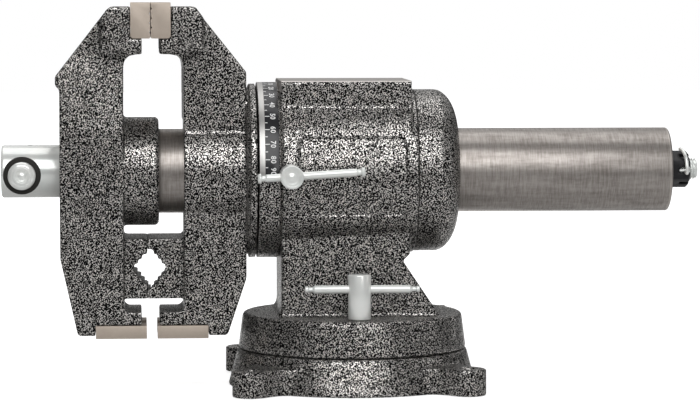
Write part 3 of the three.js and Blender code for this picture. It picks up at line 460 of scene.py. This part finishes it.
def cross_hole(radius, reach, flare):
    """A drill with a countersink at each end, as long as the piece is wide."""
    mouth = radius + 2 * flare
    return turned([
        (-reach - flare, 0), (-reach - flare, mouth), (-reach + flare, radius), (reach - flare, radius),
        (reach + flare, mouth), (reach + flare, 0),
    ], edge=keen, steps=32)


def sliding_bar(front, rear, radius, neck, tip, length):
    """A bar with a waisted tip at each end."""
    third = length / 3
    neck_start, neck_end = 1.2 * third, 2.4 * third
    return turned([
        (front, 0), (front, tip), (front + third, tip), (front + neck_start, neck), (front + neck_end, neck),
        (front + length, radius), (rear - length, radius), (rear - neck_end, neck), (rear - neck_start, neck),
        (rear - third, tip), (rear, tip), (rear, 0),
    ], edge=0.35, steps=40)


def refinish(node, material):
    """Gives a node that keeps its own shape a better finish."""
    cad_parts[node].data.materials.clear()
    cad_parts[node].data.materials.append(material)


lock_nut_x, lock_nut_y = 1.0, 65.0
lock_nut_foot, lock_nut_top, lock_nut_radius, lock_nut_edge = 54.3, 87.3, 8.5, 0.9
lock_bar_height, lock_bar_radius, lock_bar_hole = 76.5, 3.1, 3.4
for side, y in (("near", -lock_nut_y), ("far", lock_nut_y)):
    nut = turned([(lock_nut_foot, 0), (lock_nut_foot, lock_nut_radius), (lock_nut_top, lock_nut_radius),
                  (lock_nut_top, 0)], edge=lock_nut_edge)
    hole = cross_hole(lock_bar_hole, lock_nut_radius, flare=0.5)
    nut = drilled(moved(nut, "Z", lock_nut_x, y), moved(hole, "X", lock_nut_x, y, lock_bar_height))
    piece(f"lock_nut_{side}", nut, zinc, f"{side}_lock_nut", turned_sharp,
          [f"swivel_lock_nut_{side}"])
    bar = sliding_bar(front=-40, rear=44, radius=lock_bar_radius, neck=1.8, tip=2.4, length=7)
    bar = moved(bar, "X", lock_nut_x, y, lock_bar_height)
    piece(f"lock_bar_{side}", bar, zinc, f"{side}_lock_bar", turned_sharp,
          [f"swivel_lock_bar_{side}"])
    refinish(f"swivel_bolt_{side}", zinc)

# ---- Head lock
# A round zinc-plated hub whose screw pushes a brass pad against the sleeve and stops the head from turning.
# Its face is dished with a thin rim, and its own bar with headed tips slides through it.
head_lock_x, head_lock_y, head_lock_tilt = -49.5, -83, -3.6
hub_rear, hub_radius, hub_hole = -68, 8.4, 3.2
hub_screw, hub_screw_end = 6, -52
dish = [(-92.3, 0), (-92.1, 1.5), (-91.2, 3.0), (-91.2, 4.8), (-92.2, 6.1), (-93, 6.7)]
hub = turned(dish + [(-93, hub_radius), (hub_rear, hub_radius), (hub_rear, hub_screw),
                     (hub_screw_end, hub_screw), (hub_screw_end, 0)], edge=0.25)
hub = drilled(moved(hub, "Y"), moved(cross_hole(hub_hole, hub_radius, flare=0.5), "X", 0, head_lock_y))
hub = moved(hub, "X", head_lock_x, 0, barrel_axis, head_lock_tilt)
piece("head_lock_hub", hub, zinc, "head_lock", turned_sharp, ["head_lock_screw"])
bar = turned([
    (-24.5, 0), (-24.5, 3.2), (-22.2, 4), (-21.4, 2.1), (-19, 2.1), (-18, 2.9),
    (47, 2.9), (48, 2.1), (50.4, 2.1), (51.2, 4), (53.5, 3.2), (53.5, 0),
], edge=0.4, steps=40)
bar = moved(bar, "X", head_lock_x, head_lock_y, barrel_axis, head_lock_tilt)
piece("head_lock_tee", bar, zinc, "head_lock_tee", turned_sharp, ["head_lock_bar"])

brass, tree, place = new_material("machined_brass", Metallic=1.0)
marks = use_group(tree, milled, Vector=place, Size=700.0)
dress(tree, Base_Color=tinted(tree, marks.outputs["Stain"], (0.45, 0.29, 0.11, 1), (0.68, 0.5, 0.24, 1)),
      Roughness=ranged(tree, marks.outputs["Lines"], low=0.25, high=0.45))
for node in ("head_lock_pad", "main_nut"):
    refinish(node, brass)

# ---- Fixed jaw
# An iron casting in one with the long sleeve that turns in the barrel, enamelled where it shows.
# Its window, pipe jaw and plate block come from the mould, so only the plate seats are machined.
diamond_x, diamond_z = -151.6, 89.3
diamond_width, diamond_height, diamond_steps = 11.7, 14.3, 5
first_rise, full_rise = 0.35, 0.65
crisp_width, crisp_height = 15, 16
pipe_meet, pipe_low, pipe_high, pipe_half = -153.3, 67.0, 111.4, 28.6
pipe_reach, pipe_edge, pipe_gap, pipe_facing = 1.5, 1, 0.04, 0.6
pipe_draft, far_shift_x, far_shift_z = 1.16, 2, -2.4


def jaw_crisp(place):
    """The stepped diamond of the pipe jaws and the sharp edges that meet beside it."""
    across, up = abs(place.x / mm - diamond_x), abs(place.z / mm - diamond_z)
    return across < crisp_width and up < crisp_height


def pipe_jaw(bm, way):
    """Closes a pipe jaw up to its mate and opens its stepped diamond, which widens to the far side."""
    bm.normal_update()
    for vertex in bm.verts:
        x, height = vertex.co.x / mm, vertex.co.z / mm
        facing = abs(x - pipe_meet) < pipe_reach and abs(vertex.normal.x) > pipe_facing
        if facing and pipe_low - pipe_edge < height < pipe_high + pipe_edge:
            vertex.co.x = (pipe_meet + pipe_gap * way) * mm
    hole = bmesh.new()
    wide, high = diamond_width / diamond_steps, diamond_height / diamond_steps
    stairs = [(diamond_width, first_rise * high)]
    for step in range(1, diamond_steps):
        x = diamond_width - step * wide
        stairs += [(x, (step - full_rise) * high), (x, (step + first_rise) * high)]
    stairs += [(first_rise * wide, (diamond_steps - full_rise) * high), (first_rise * wide, diamond_height)]
    half = stairs + [(-x, z) for x, z in reversed(stairs)]
    outline = half + [(-x, -z) for x, z in half]
    ring = [hole.verts.new(((diamond_x + x) * mm, -pipe_half * mm, (diamond_z + z) * mm))
            for x, z in outline]
    near_end = bmesh.ops.contextual_create(hole, geom=ring)["faces"]
    grown = bmesh.ops.extrude_face_region(hole, geom=near_end)["geom"]
    far_end = [item for item in grown if isinstance(item, bmesh.types.BMVert)]
    middle = Matrix.Translation((diamond_x * mm, 0, diamond_z * mm))
    widen = (Matrix.Translation((far_shift_x * mm, 2 * pipe_half * mm, far_shift_z * mm)) @ middle
             @ Matrix.Diagonal((pipe_draft, 1, pipe_draft, 1)) @ middle.inverted())
    bmesh.ops.transform(hole, verts=far_end, matrix=widen)
    bmesh.ops.recalc_face_normals(hole, faces=hole.faces)
    return drilled(bm, hole)


window_wall, window_reach, window_near = -126.3, 12, -33
window_low, window_high, wall_draft = 198.0, 249.0, 0.012
jaw = pipe_jaw(cast_copy("fixed_jaw", crisp=jaw_crisp), way=1)
for vertex in jaw.verts:
    offset = abs(vertex.co.x / mm - window_wall)
    if offset < window_reach and window_low < vertex.co.z / mm < window_high:
        share = 1 - offset / window_reach
        vertex.co.x -= share * wall_draft * (vertex.co.y - window_near * mm)
piece("cast_fixed_jaw", thinned(jaw), enamel, "head", cast_sharp, ["fixed_jaw"])

# ---- Rear cap
# A domed iron cover screwed to the sleeve's end with four socket screws, which holds the head in the barrel.
# Its rear corner is a large soft round, and the tube slides through its bore.
black_oxide, tree, place = new_material("black_oxide", Metallic=0.6)
lines = use_group(tree, milled, Vector=place, Size=500.0).outputs["Lines"]
dress(tree, Base_Color=tinted(tree, lines, (0.012, 0.012, 0.013, 1), (0.04, 0.04, 0.042, 1)),
      Roughness=ranged(tree, lines, low=0.3, high=0.5))


def eased(node, width):
    """A node's shape with its facets joined and its sharp edges lightly rounded."""
    bm = merged_copy(node)
    bmesh.ops.dissolve_limit(bm, angle_limit=math.radians(1), verts=bm.verts, edges=bm.edges)
    rounded(bm, width, sharp=30, clamp_overlap=True)
    return bm


cap_front, cap_shoulder, cap_rear = 45.5, 60.5, 78.0
cap_radius, cap_bore, bore_lip = 60.5, 31.8, 0.7
sleeve_seat, seat_depth = 44.3, 60.3
screw_hole, screw_seat, screw_sunk, seat_end = 2.8, 4.9, 5, 90
dome = []
for degrees in range(0, 91, 5):
    turn = math.radians(degrees)
    dome.append((cap_shoulder + (cap_rear - cap_shoulder) * math.sin(turn),
                 cap_radius - (cap_radius - cap_bore - bore_lip) * (1 - math.cos(turn))))
cap = turned([(cap_front, sleeve_seat), (cap_front, cap_radius)] + dome
             + [(cap_rear, cap_bore), (seat_depth, cap_bore), (seat_depth, sleeve_seat)],
             edge=0.5, steps=160, closed=True, sharp=30)
for index in range(1, 5):
    node = f"rear_cap_screw_{index}"
    low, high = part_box(node)
    tail, head = low[0] / mm, high[0] / mm - screw_sunk
    seat = turned([(tail, 0), (tail, screw_hole), (head, screw_hole), (head, screw_seat),
                   (seat_end, screw_seat), (seat_end, 0)], edge=keen, steps=32)
    y, z = (low[1] + high[1]) / 2 / mm, (low[2] + high[2]) / 2 / mm - barrel_axis
    cap = drilled(cap, moved(seat, "X", 0, y, z))
    piece(f"cap_screw_{index}", eased(node, width=0.3), black_oxide, "head", replaced=[node])
cap = moved(cap, "X", 0, 0, barrel_axis)
piece("cast_rear_cap", cap, enamel, "head", turned_sharp, ["rear_cap"])

# ---- Moving jaw
# The matching iron casting, pinned to the slide tube, with a boss round the tube and a nub on its back.
# Enamelled like the rest; the spindle's head bears on its front face.
jaw = pipe_jaw(cast_copy("moving_jaw", crisp=jaw_crisp), way=-1)
piece("cast_moving_jaw", thinned(jaw), enamel, "slide", cast_sharp, ["moving_jaw"])

# ---- Slide tube
# A thick steel tube, ground round its length and left bare, so it has gone dark and brown from handling.
# A slot below takes the main nut's stem, and a steel bush closes its rear end round the stud.
tube_rear, tube_chamfer, chamfer_fade = 238.0, 2.4, 0.4
streak_share, stain_share = 0.45, 0.5
tube_steel, tree, place = new_material("ground_tube_steel", Metallic=0.85)
rings = use_group(tree, milled, Vector=stretched(tree, place, (60, 5, 5)), Size=17.0).outputs["Lines"]
streaks = use_group(tree, milled, Vector=stretched(tree, place, (1.2, 6, 6)), Size=30.0).outputs["Lines"]
grind = ranged(tree, between(tree, streak_share, rings, streaks), start=0.36, end=0.64)
worn = tinted(tree, grind, (0.25, 0.225, 0.205, 1), (0.47, 0.435, 0.41, 1))
split = add_node(tree, "SeparateXYZ", {0: place})
chamfer = ranged(tree, split.outputs["X"], high=0.6, start=(tube_rear - tube_chamfer) * mm,
                 end=(tube_rear - tube_chamfer + chamfer_fade) * mm)
dress(tree, Base_Color=tinted(tree, chamfer, worn, (0.6, 0.56, 0.52, 1)),
      Roughness=ranged(tree, grind, low=0.42, high=0.3),
      Normal=relief(tree, rings, strength=0.12, depth=0.05))
tube = eased("slide_tube", width=0.6)
piece("ground_tube", tube, tube_steel, "slide", turned_sharp, ["slide_tube"])

jaw_steel, tree, place = new_material("ground_jaw_steel", Metallic=0.35)
marks = use_group(tree, milled, Vector=stretched(tree, place, (1, 8, 0.6)), Size=260.0)
tone = between(tree, stain_share, marks.outputs["Lines"], marks.outputs["Stain"])
dress(tree, Base_Color=tinted(tree, tone, (0.44, 0.365, 0.3, 1), (0.62, 0.54, 0.465, 1)),
      Roughness=ranged(tree, marks.outputs["Lines"], low=0.4, high=0.55),
      Normal=relief(tree, marks.outputs["Lines"], strength=0.1, depth=0.05))
bush = eased("rear_bush", width=0.5)
piece("tube_bush", bush, jaw_steel, "slide", turned_sharp, ["rear_bush"])
set_screw = eased("jaw_set_screw", width=0.4)
piece("set_screw", set_screw, black_oxide, "slide", replaced=["jaw_set_screw"])

# ---- Jaw plates
# Ground tool steel, bolted on from the front with two socket screws each: a wide pair on top with
# grooves that stop just short of the far end, and a lower pair with a vee for upright pipe.
groove_stop, groove_room, stop_inset = 6.0, 1.2, 0.4
for jaw, body in (("moving", "slide"), ("fixed", "head")):
    low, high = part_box(f"{jaw}_top_plate")
    biting = high[0] - groove_room / 2 * mm if jaw == "moving" else low[0] + groove_room / 2 * mm
    middle = (biting, high[1] - (groove_stop / 2 + stop_inset) * mm, (low[2] + high[2]) / 2)
    block = (groove_room * mm, groove_stop * mm, high[2] - low[2] - 2 * stop_inset * mm, 1)
    stop = bmesh.new()
    bmesh.ops.create_cube(stop, size=1, matrix=Matrix.Translation(middle) @ Matrix.Diagonal(block))
    plate = drilled(eased(f"{jaw}_top_plate", width=0.35), stop, "UNION")
    piece(f"{jaw}_upper_plate", plate, jaw_steel, body, replaced=[f"{jaw}_top_plate"])
    plate = eased(f"{jaw}_vee_plate", width=0.5)
    piece(f"{jaw}_lower_plate", plate, jaw_steel, body, replaced=[f"{jaw}_vee_plate"])
    for side in ("near", "far"):
        for level in ("top", "vee"):
            node = f"{jaw}_{level}_screw_{side}"
            bolt = eased(node, width=0.3)
            piece(f"{jaw}_{level}_bolt_{side}", bolt, black_oxide, body, replaced=[node])

# ---- Spindle
# A steel screw with a bright round head turned in one piece, cross-drilled for the tommy bar.
# Its rear end is a threaded stud that runs in the bush and carries the slotted nut.
spindle_front, spindle_shoulder = -261.0, -217.7
spindle_radius, spindle_round = 19.5, 1.4
tommy_x, tommy_hole = -244.2, 8.3
screw_core, screw_rear, screw_runout = 9.2, 215.5, 4
screw_crest, screw_pitch = 11, 5
stud_core, stud_rear = 6.8, 260.5
stud_crest, stud_pitch, stud_thread_front, stud_thread_rear = 8, 2.2, 221.9, 259.4


def thread(start, end, core, crest, pitch, steps):
    """A ridge that climbs round the X axis, one pitch each turn."""
    foot, tip, bite = 0.4, 0.07, 0.2
    bm = bmesh.new()
    shares = [(-foot, core - bite), (-tip, crest), (tip, crest), (foot, core - bite)]
    points = [bm.verts.new(((start + share * pitch) * mm, 0, radius * mm)) for share, radius in shares]
    lines = [bm.edges.new((points[index - 1], points[index])) for index in range(4)]
    turns = int((end - start) / pitch)
    bmesh.ops.spin(bm, geom=points + lines, cent=(0, 0, 0), axis=(1, 0, 0), dvec=(pitch * mm / steps, 0, 0),
                   angle=2 * math.pi * turns, steps=steps * turns)
    bmesh.ops.holes_fill(bm, edges=[line for line in bm.edges if line.is_boundary], sides=4)
    bmesh.ops.recalc_face_normals(bm, faces=bm.faces)
    return bm


def joined(first, *others):
    """Several shapes as one."""
    for other in others:
        mesh = as_mesh(other)
        first.from_mesh(mesh)
        bpy.data.meshes.remove(mesh)
    return first


corner = 0.35 * spindle_round
head = turned([
    (spindle_front, 0), (spindle_front, spindle_radius - spindle_round),
    (spindle_front + corner, spindle_radius - corner), (spindle_front + spindle_round, spindle_radius),
    (spindle_shoulder, spindle_radius), (spindle_shoulder, screw_core), (screw_rear, screw_core),
    (screw_rear, stud_core), (stud_rear, stud_core), (stud_rear, 0),
], edge=0.6, steps=96)
head = drilled(head, moved(cross_hole(tommy_hole, spindle_radius, flare=0.8), "Y", tommy_x))
long_thread = thread(spindle_shoulder + screw_runout, screw_rear - screw_runout, screw_core, screw_crest,
                     screw_pitch, steps=20)
stud_thread = thread(stud_thread_front, stud_thread_rear, stud_core, stud_crest, stud_pitch, steps=24)
screw = moved(joined(head, long_thread, stud_thread), "X", 0, 0, barrel_axis)
piece("spindle_screw", screw, zinc, "screw", turned_sharp, ["spindle"])

# ---- Slotted nut and split pin
# A black slotted hexagon nut keeps the spindle in the tube, locked by a steel pin through one slot.
# The pin is wire folded into an eye; its long leg is bent up round the nut and the short one forward.
slotted = eased("castle_nut", width=0.35)
piece("slotted_nut", slotted, black_oxide, "screw", turned_sharp, ["castle_nut"])
pin_x, pin_wire, bent_share = 250.4, 0.8, 1.75
eye_radius, eye_middle = 3, 17.5
leg_heights = (13.5, 8, 0, -8, -12.5)
leg_radius, leg_start, leg_lean, lean_end, lean_power = 15.76, 0.6, 4.2, 85, 2.5
eye = [(pin_x + eye_radius * math.sin(math.radians(turn)),
        eye_middle + eye_radius * math.cos(math.radians(turn)), 0.0) for turn in range(-150, 151, 30)]
over = [(pin_x + leg_start - leg_lean * (max(0, turn) / lean_end) ** lean_power,
         -leg_radius * math.cos(math.radians(turn)), leg_radius * math.sin(math.radians(turn)))
        for turn in range(-12, 83, 10)]
long_leg = [(pin_x - pin_wire, y, 0) for y in leg_heights] + over
short_leg = [(pin_x + pin_wire, y, 0) for y in leg_heights]
short_leg += [(pin_x + 0.2, -14.6, 0.0), (pin_x - 2.2, -15.4, -0.2), (pin_x - 5.0, -15.2, -0.4)]
wire = bpy.data.curves.new("pin_wire", "CURVE")
wire.dimensions = "3D"
wire.bevel_depth = pin_wire
wire.bevel_resolution = 4
wire.use_fill_caps = True
for route in (eye + long_leg, list(reversed(eye)) + short_leg):
    spline = wire.splines.new("NURBS")
    spline.points.add(len(route) - 1)
    for point, place in zip(spline.points, route):
        point.co = (*place, 1)
        point.radius = bent_share if place in over else 1
    spline.order_u = 3
    spline.use_endpoint_u = True
    spline.resolution_u = 4
bm = as_bmesh(mesh_of(put("pin_wire", wire)))
bmesh.ops.scale(bm, vec=(mm, mm, mm), verts=bm.verts)
piece("folded_pin", moved(bm, "X", 0, 0, barrel_axis), zinc, "screw", replaced=["split_pin"])

# ---- Tommy bar
# A bright steel bar that slides through the spindle's head, with a pressed cap on each end.
# A rubber ring behind each cap softens its drop; the caps have a domed edge and a dished middle.
rod_near, rod_far, rod_radius = -62.7, 132.7, 8
tip_length, tip_radius = 6, 5
ring_front, ring_back, ring_bore, ring_radius, ring_round = 8.3, 14.3, 8.3, 13.7, 1.7
rod = turned([
    (rod_near, 0), (rod_near, tip_radius),
    (rod_near + tip_length, tip_radius), (rod_near + tip_length, rod_radius),
    (rod_far - tip_length, rod_radius), (rod_far - tip_length, tip_radius),
    (rod_far, tip_radius), (rod_far, 0),
], edge=0.5)
rod = moved(rod, "Y", tommy_x, 0, barrel_axis)
piece("tommy_rod", rod, zinc, "tommy", turned_sharp, ["tommy_bar"])

rubber_sharp = 60
rubber, tree, place = new_material("black_rubber", Specular_IOR_Level=0.3)
grain = noise(tree, place, scale=1500.0, Detail=3.0)
dress(tree, Base_Color=tinted(tree, grain, (0.012, 0.011, 0.01, 1), (0.035, 0.033, 0.03, 1)),
      Roughness=ranged(tree, grain, low=0.6, high=0.85),
      Normal=relief(tree, grain, strength=0.2, depth=0.05))

cap_profile = [(1.2, 0), (1.3, 1.4), (1.9, 2.4), (1.7, 3.4), (0.3, 4.7), (0, 5.0), (0, 6.3), (0.5, 6.8),
               (0.4, 7.4), (0.9, 8.6), (1.9, 9.7), (3.0, 10.1), (8, 10.1), (8, 5.3), (2.4, 5.3), (2.4, 0)]
for side, end, way in (("near", -65.0, -1), ("far", 135.0, 1)):
    cap = turned([(end - way * depth, radius) for depth, radius in cap_profile], edge=0.15, steps=72, sharp=40)
    cap = moved(cap, "Y", tommy_x, 0, barrel_axis)
    piece(f"bar_cap_{side}", cap, zinc, "tommy", turned_sharp, [f"tommy_cap_{side}"])
    first, last = end - way * ring_front, end - way * ring_back
    ring = turned([(first, ring_bore), (first, ring_radius), (last, ring_radius), (last, ring_bore)],
                  edge=ring_round, steps=72, closed=True)
    ring = moved(ring, "Y", tommy_x, 0, barrel_axis)
    piece(f"bar_ring_{side}", ring, rubber, "tommy", rubber_sharp, [f"tommy_ring_{side}"])

# ---- Floor, light and camera
# A white table that keeps a soft shadow, lit by a large and a small lamp in front, one overhead and a weak
# one on the right. In bounced light and reflections the table is a grey sheet that darkens away from the vise,
# and behind the vise it glows in the metal's reflections, a painted reflection of a bright backdrop.
# The camera looks almost square at the vise's near side, from a little in front and above.
floor_reach, floor_height = 7, -0.0004
floor_material = bpy.data.materials.new("white_table")
floor_material.use_nodes = True
tree = floor_material.node_tree
tree.nodes.remove(tree.nodes["Principled BSDF"])
paths = tree.nodes.new("ShaderNodeLightPath")
place = tree.nodes.new("ShaderNodeTexCoord").outputs["Object"]
reach = add_node(tree, "VectorMath", {0: place}, operation="LENGTH").outputs["Value"]
paper = add_node(tree, "BsdfDiffuse", {"Color": (0.6, 0.6, 0.6, 1)})
far_glow = ranged(tree, reach, low=0.78, high=1.1, start=0.3, end=0.8, interpolation_type="SMOOTHSTEP")
glow = add_node(tree, "Emission", {"Color": (1, 1, 1, 1), "Strength": far_glow})
seen = add_node(tree, "AddShader", {0: paper.outputs[0], 1: glow.outputs[0]})
split = add_node(tree, "SeparateXYZ", {0: place})
# painted reflection: for glossy rays only, the table behind the vise glows white, standing in for a bright
# backdrop
bearing = calc(tree, "DIVIDE", split.outputs["Y"], reach)
behind = ranged(tree, bearing, high=0.85, start=0.7, end=0.95, interpolation_type="SMOOTHSTEP")
mirrored = calc(tree, "MULTIPLY", behind, paths.outputs["Is Glossy Ray"])
painted_backdrop_glow = add_node(tree, "Emission", {"Color": (1, 1, 1, 1), "Strength": mirrored})
paler_near = ranged(tree, reach, low=0.6, high=0.2, start=0.45, end=1.0, interpolation_type="SMOOTHSTEP")
mirror_paper = add_node(tree, "BsdfDiffuse", {"Color": paler_near})
unseen = add_node(tree, "AddShader", {0: mirror_paper.outputs[0], 1: painted_backdrop_glow.outputs[0]})
surface = add_node(tree, "MixShader", {0: paths.outputs["Is Camera Ray"], 1: unseen.outputs[0],
                                       2: seen.outputs[0]})
tree.links.new(surface.outputs[0], tree.nodes["Material Output"].inputs["Surface"])
bm = bmesh.new()
bmesh.ops.create_grid(bm, x_segments=1, y_segments=1, size=floor_reach,
                      matrix=Matrix.Translation((0, 0, floor_height)))
floor = put("white_table", as_mesh(bm, "white_table"))
floor.data.materials.append(floor_material)

room_light, backdrop_light = 0.28, 1.0
world = bpy.data.worlds.new("studio")
bpy.context.scene.world = world
world.use_nodes = True
tree = world.node_tree
paths = tree.nodes.new("ShaderNodeLightPath")
split = add_node(tree, "SeparateXYZ", {0: tree.nodes.new("ShaderNodeTexCoord").outputs["Generated"]})
behind = ranged(tree, split.outputs["Y"], low=0.08, high=1.0, start=0.45, end=0.95,
                interpolation_type="SMOOTHSTEP")
ahead = ranged(tree, split.outputs["Y"], high=0.22, start=-0.5, end=-0.9, interpolation_type="SMOOTHSTEP")
raised = ranged(tree, split.outputs["Z"], low=0.06, high=0.8, start=0.12, end=0.45)
round_about = calc(tree, "ADD", calc(tree, "MULTIPLY", behind, raised), ahead)
mirrored = calc(tree, "MAXIMUM", paths.outputs["Is Glossy Ray"], paths.outputs["Is Transmission Ray"])
indoors = between(tree, mirrored, room_light, round_about)
strength = between(tree, paths.outputs["Is Camera Ray"], indoors, backdrop_light)
tree.links.new(strength, tree.nodes["Background"].inputs["Strength"])
tree.nodes["Background"].inputs["Color"].default_value = (1, 1, 1, 1)


def softbox(name, place, aim, width, height, power):
    """A rectangular soft lamp that looks at a point."""
    lamp = bpy.data.lights.new(name, "AREA")
    lamp.shape = "RECTANGLE"
    lamp.size, lamp.size_y, lamp.energy = width, height, power
    obj = put(name, lamp)
    obj.location = place
    obj.rotation_euler = (Vector(aim) - Vector(place)).to_track_quat("-Z", "Y").to_euler()
    obj.visible_camera = False


softbox("front_box", place=(-0.1, -1.43, 1.18), aim=(0, 0, 0.2), width=1.7, height=1.28, power=18.5)
softbox("low_box", place=(0.6, -1.55, 0.4), aim=(0.1, 0, 0.16), width=0.6, height=0.22, power=0.9)
softbox("top_box", place=(0.05, 0.42, 1.65), aim=(0, 0, 0.15), width=2.2, height=1.25, power=12)
softbox("right_fill", place=(1.9, -0.4, 0.7), aim=(0, 0, 0.2), width=0.7, height=1.0, power=2)

azimuth, elevation, distance = math.radians(4), math.radians(3.8), 2.3
target = Vector((-0.0015, 0, 0.13755))
camera = bpy.data.cameras.new("camera")
camera.lens = 157.7
camera.sensor_width = 36
camera.clip_end = 40
view = put("camera", camera)
view.location = target + distance * Vector((-math.sin(azimuth) * math.cos(elevation),
                                            -math.cos(azimuth) * math.cos(elevation), math.sin(elevation)))
view.rotation_euler = (target - view.location).to_track_quat("-Z", "Y").to_euler()
bpy.context.scene.camera = view
bpy.context.scene.view_settings.view_transform = "Standard"
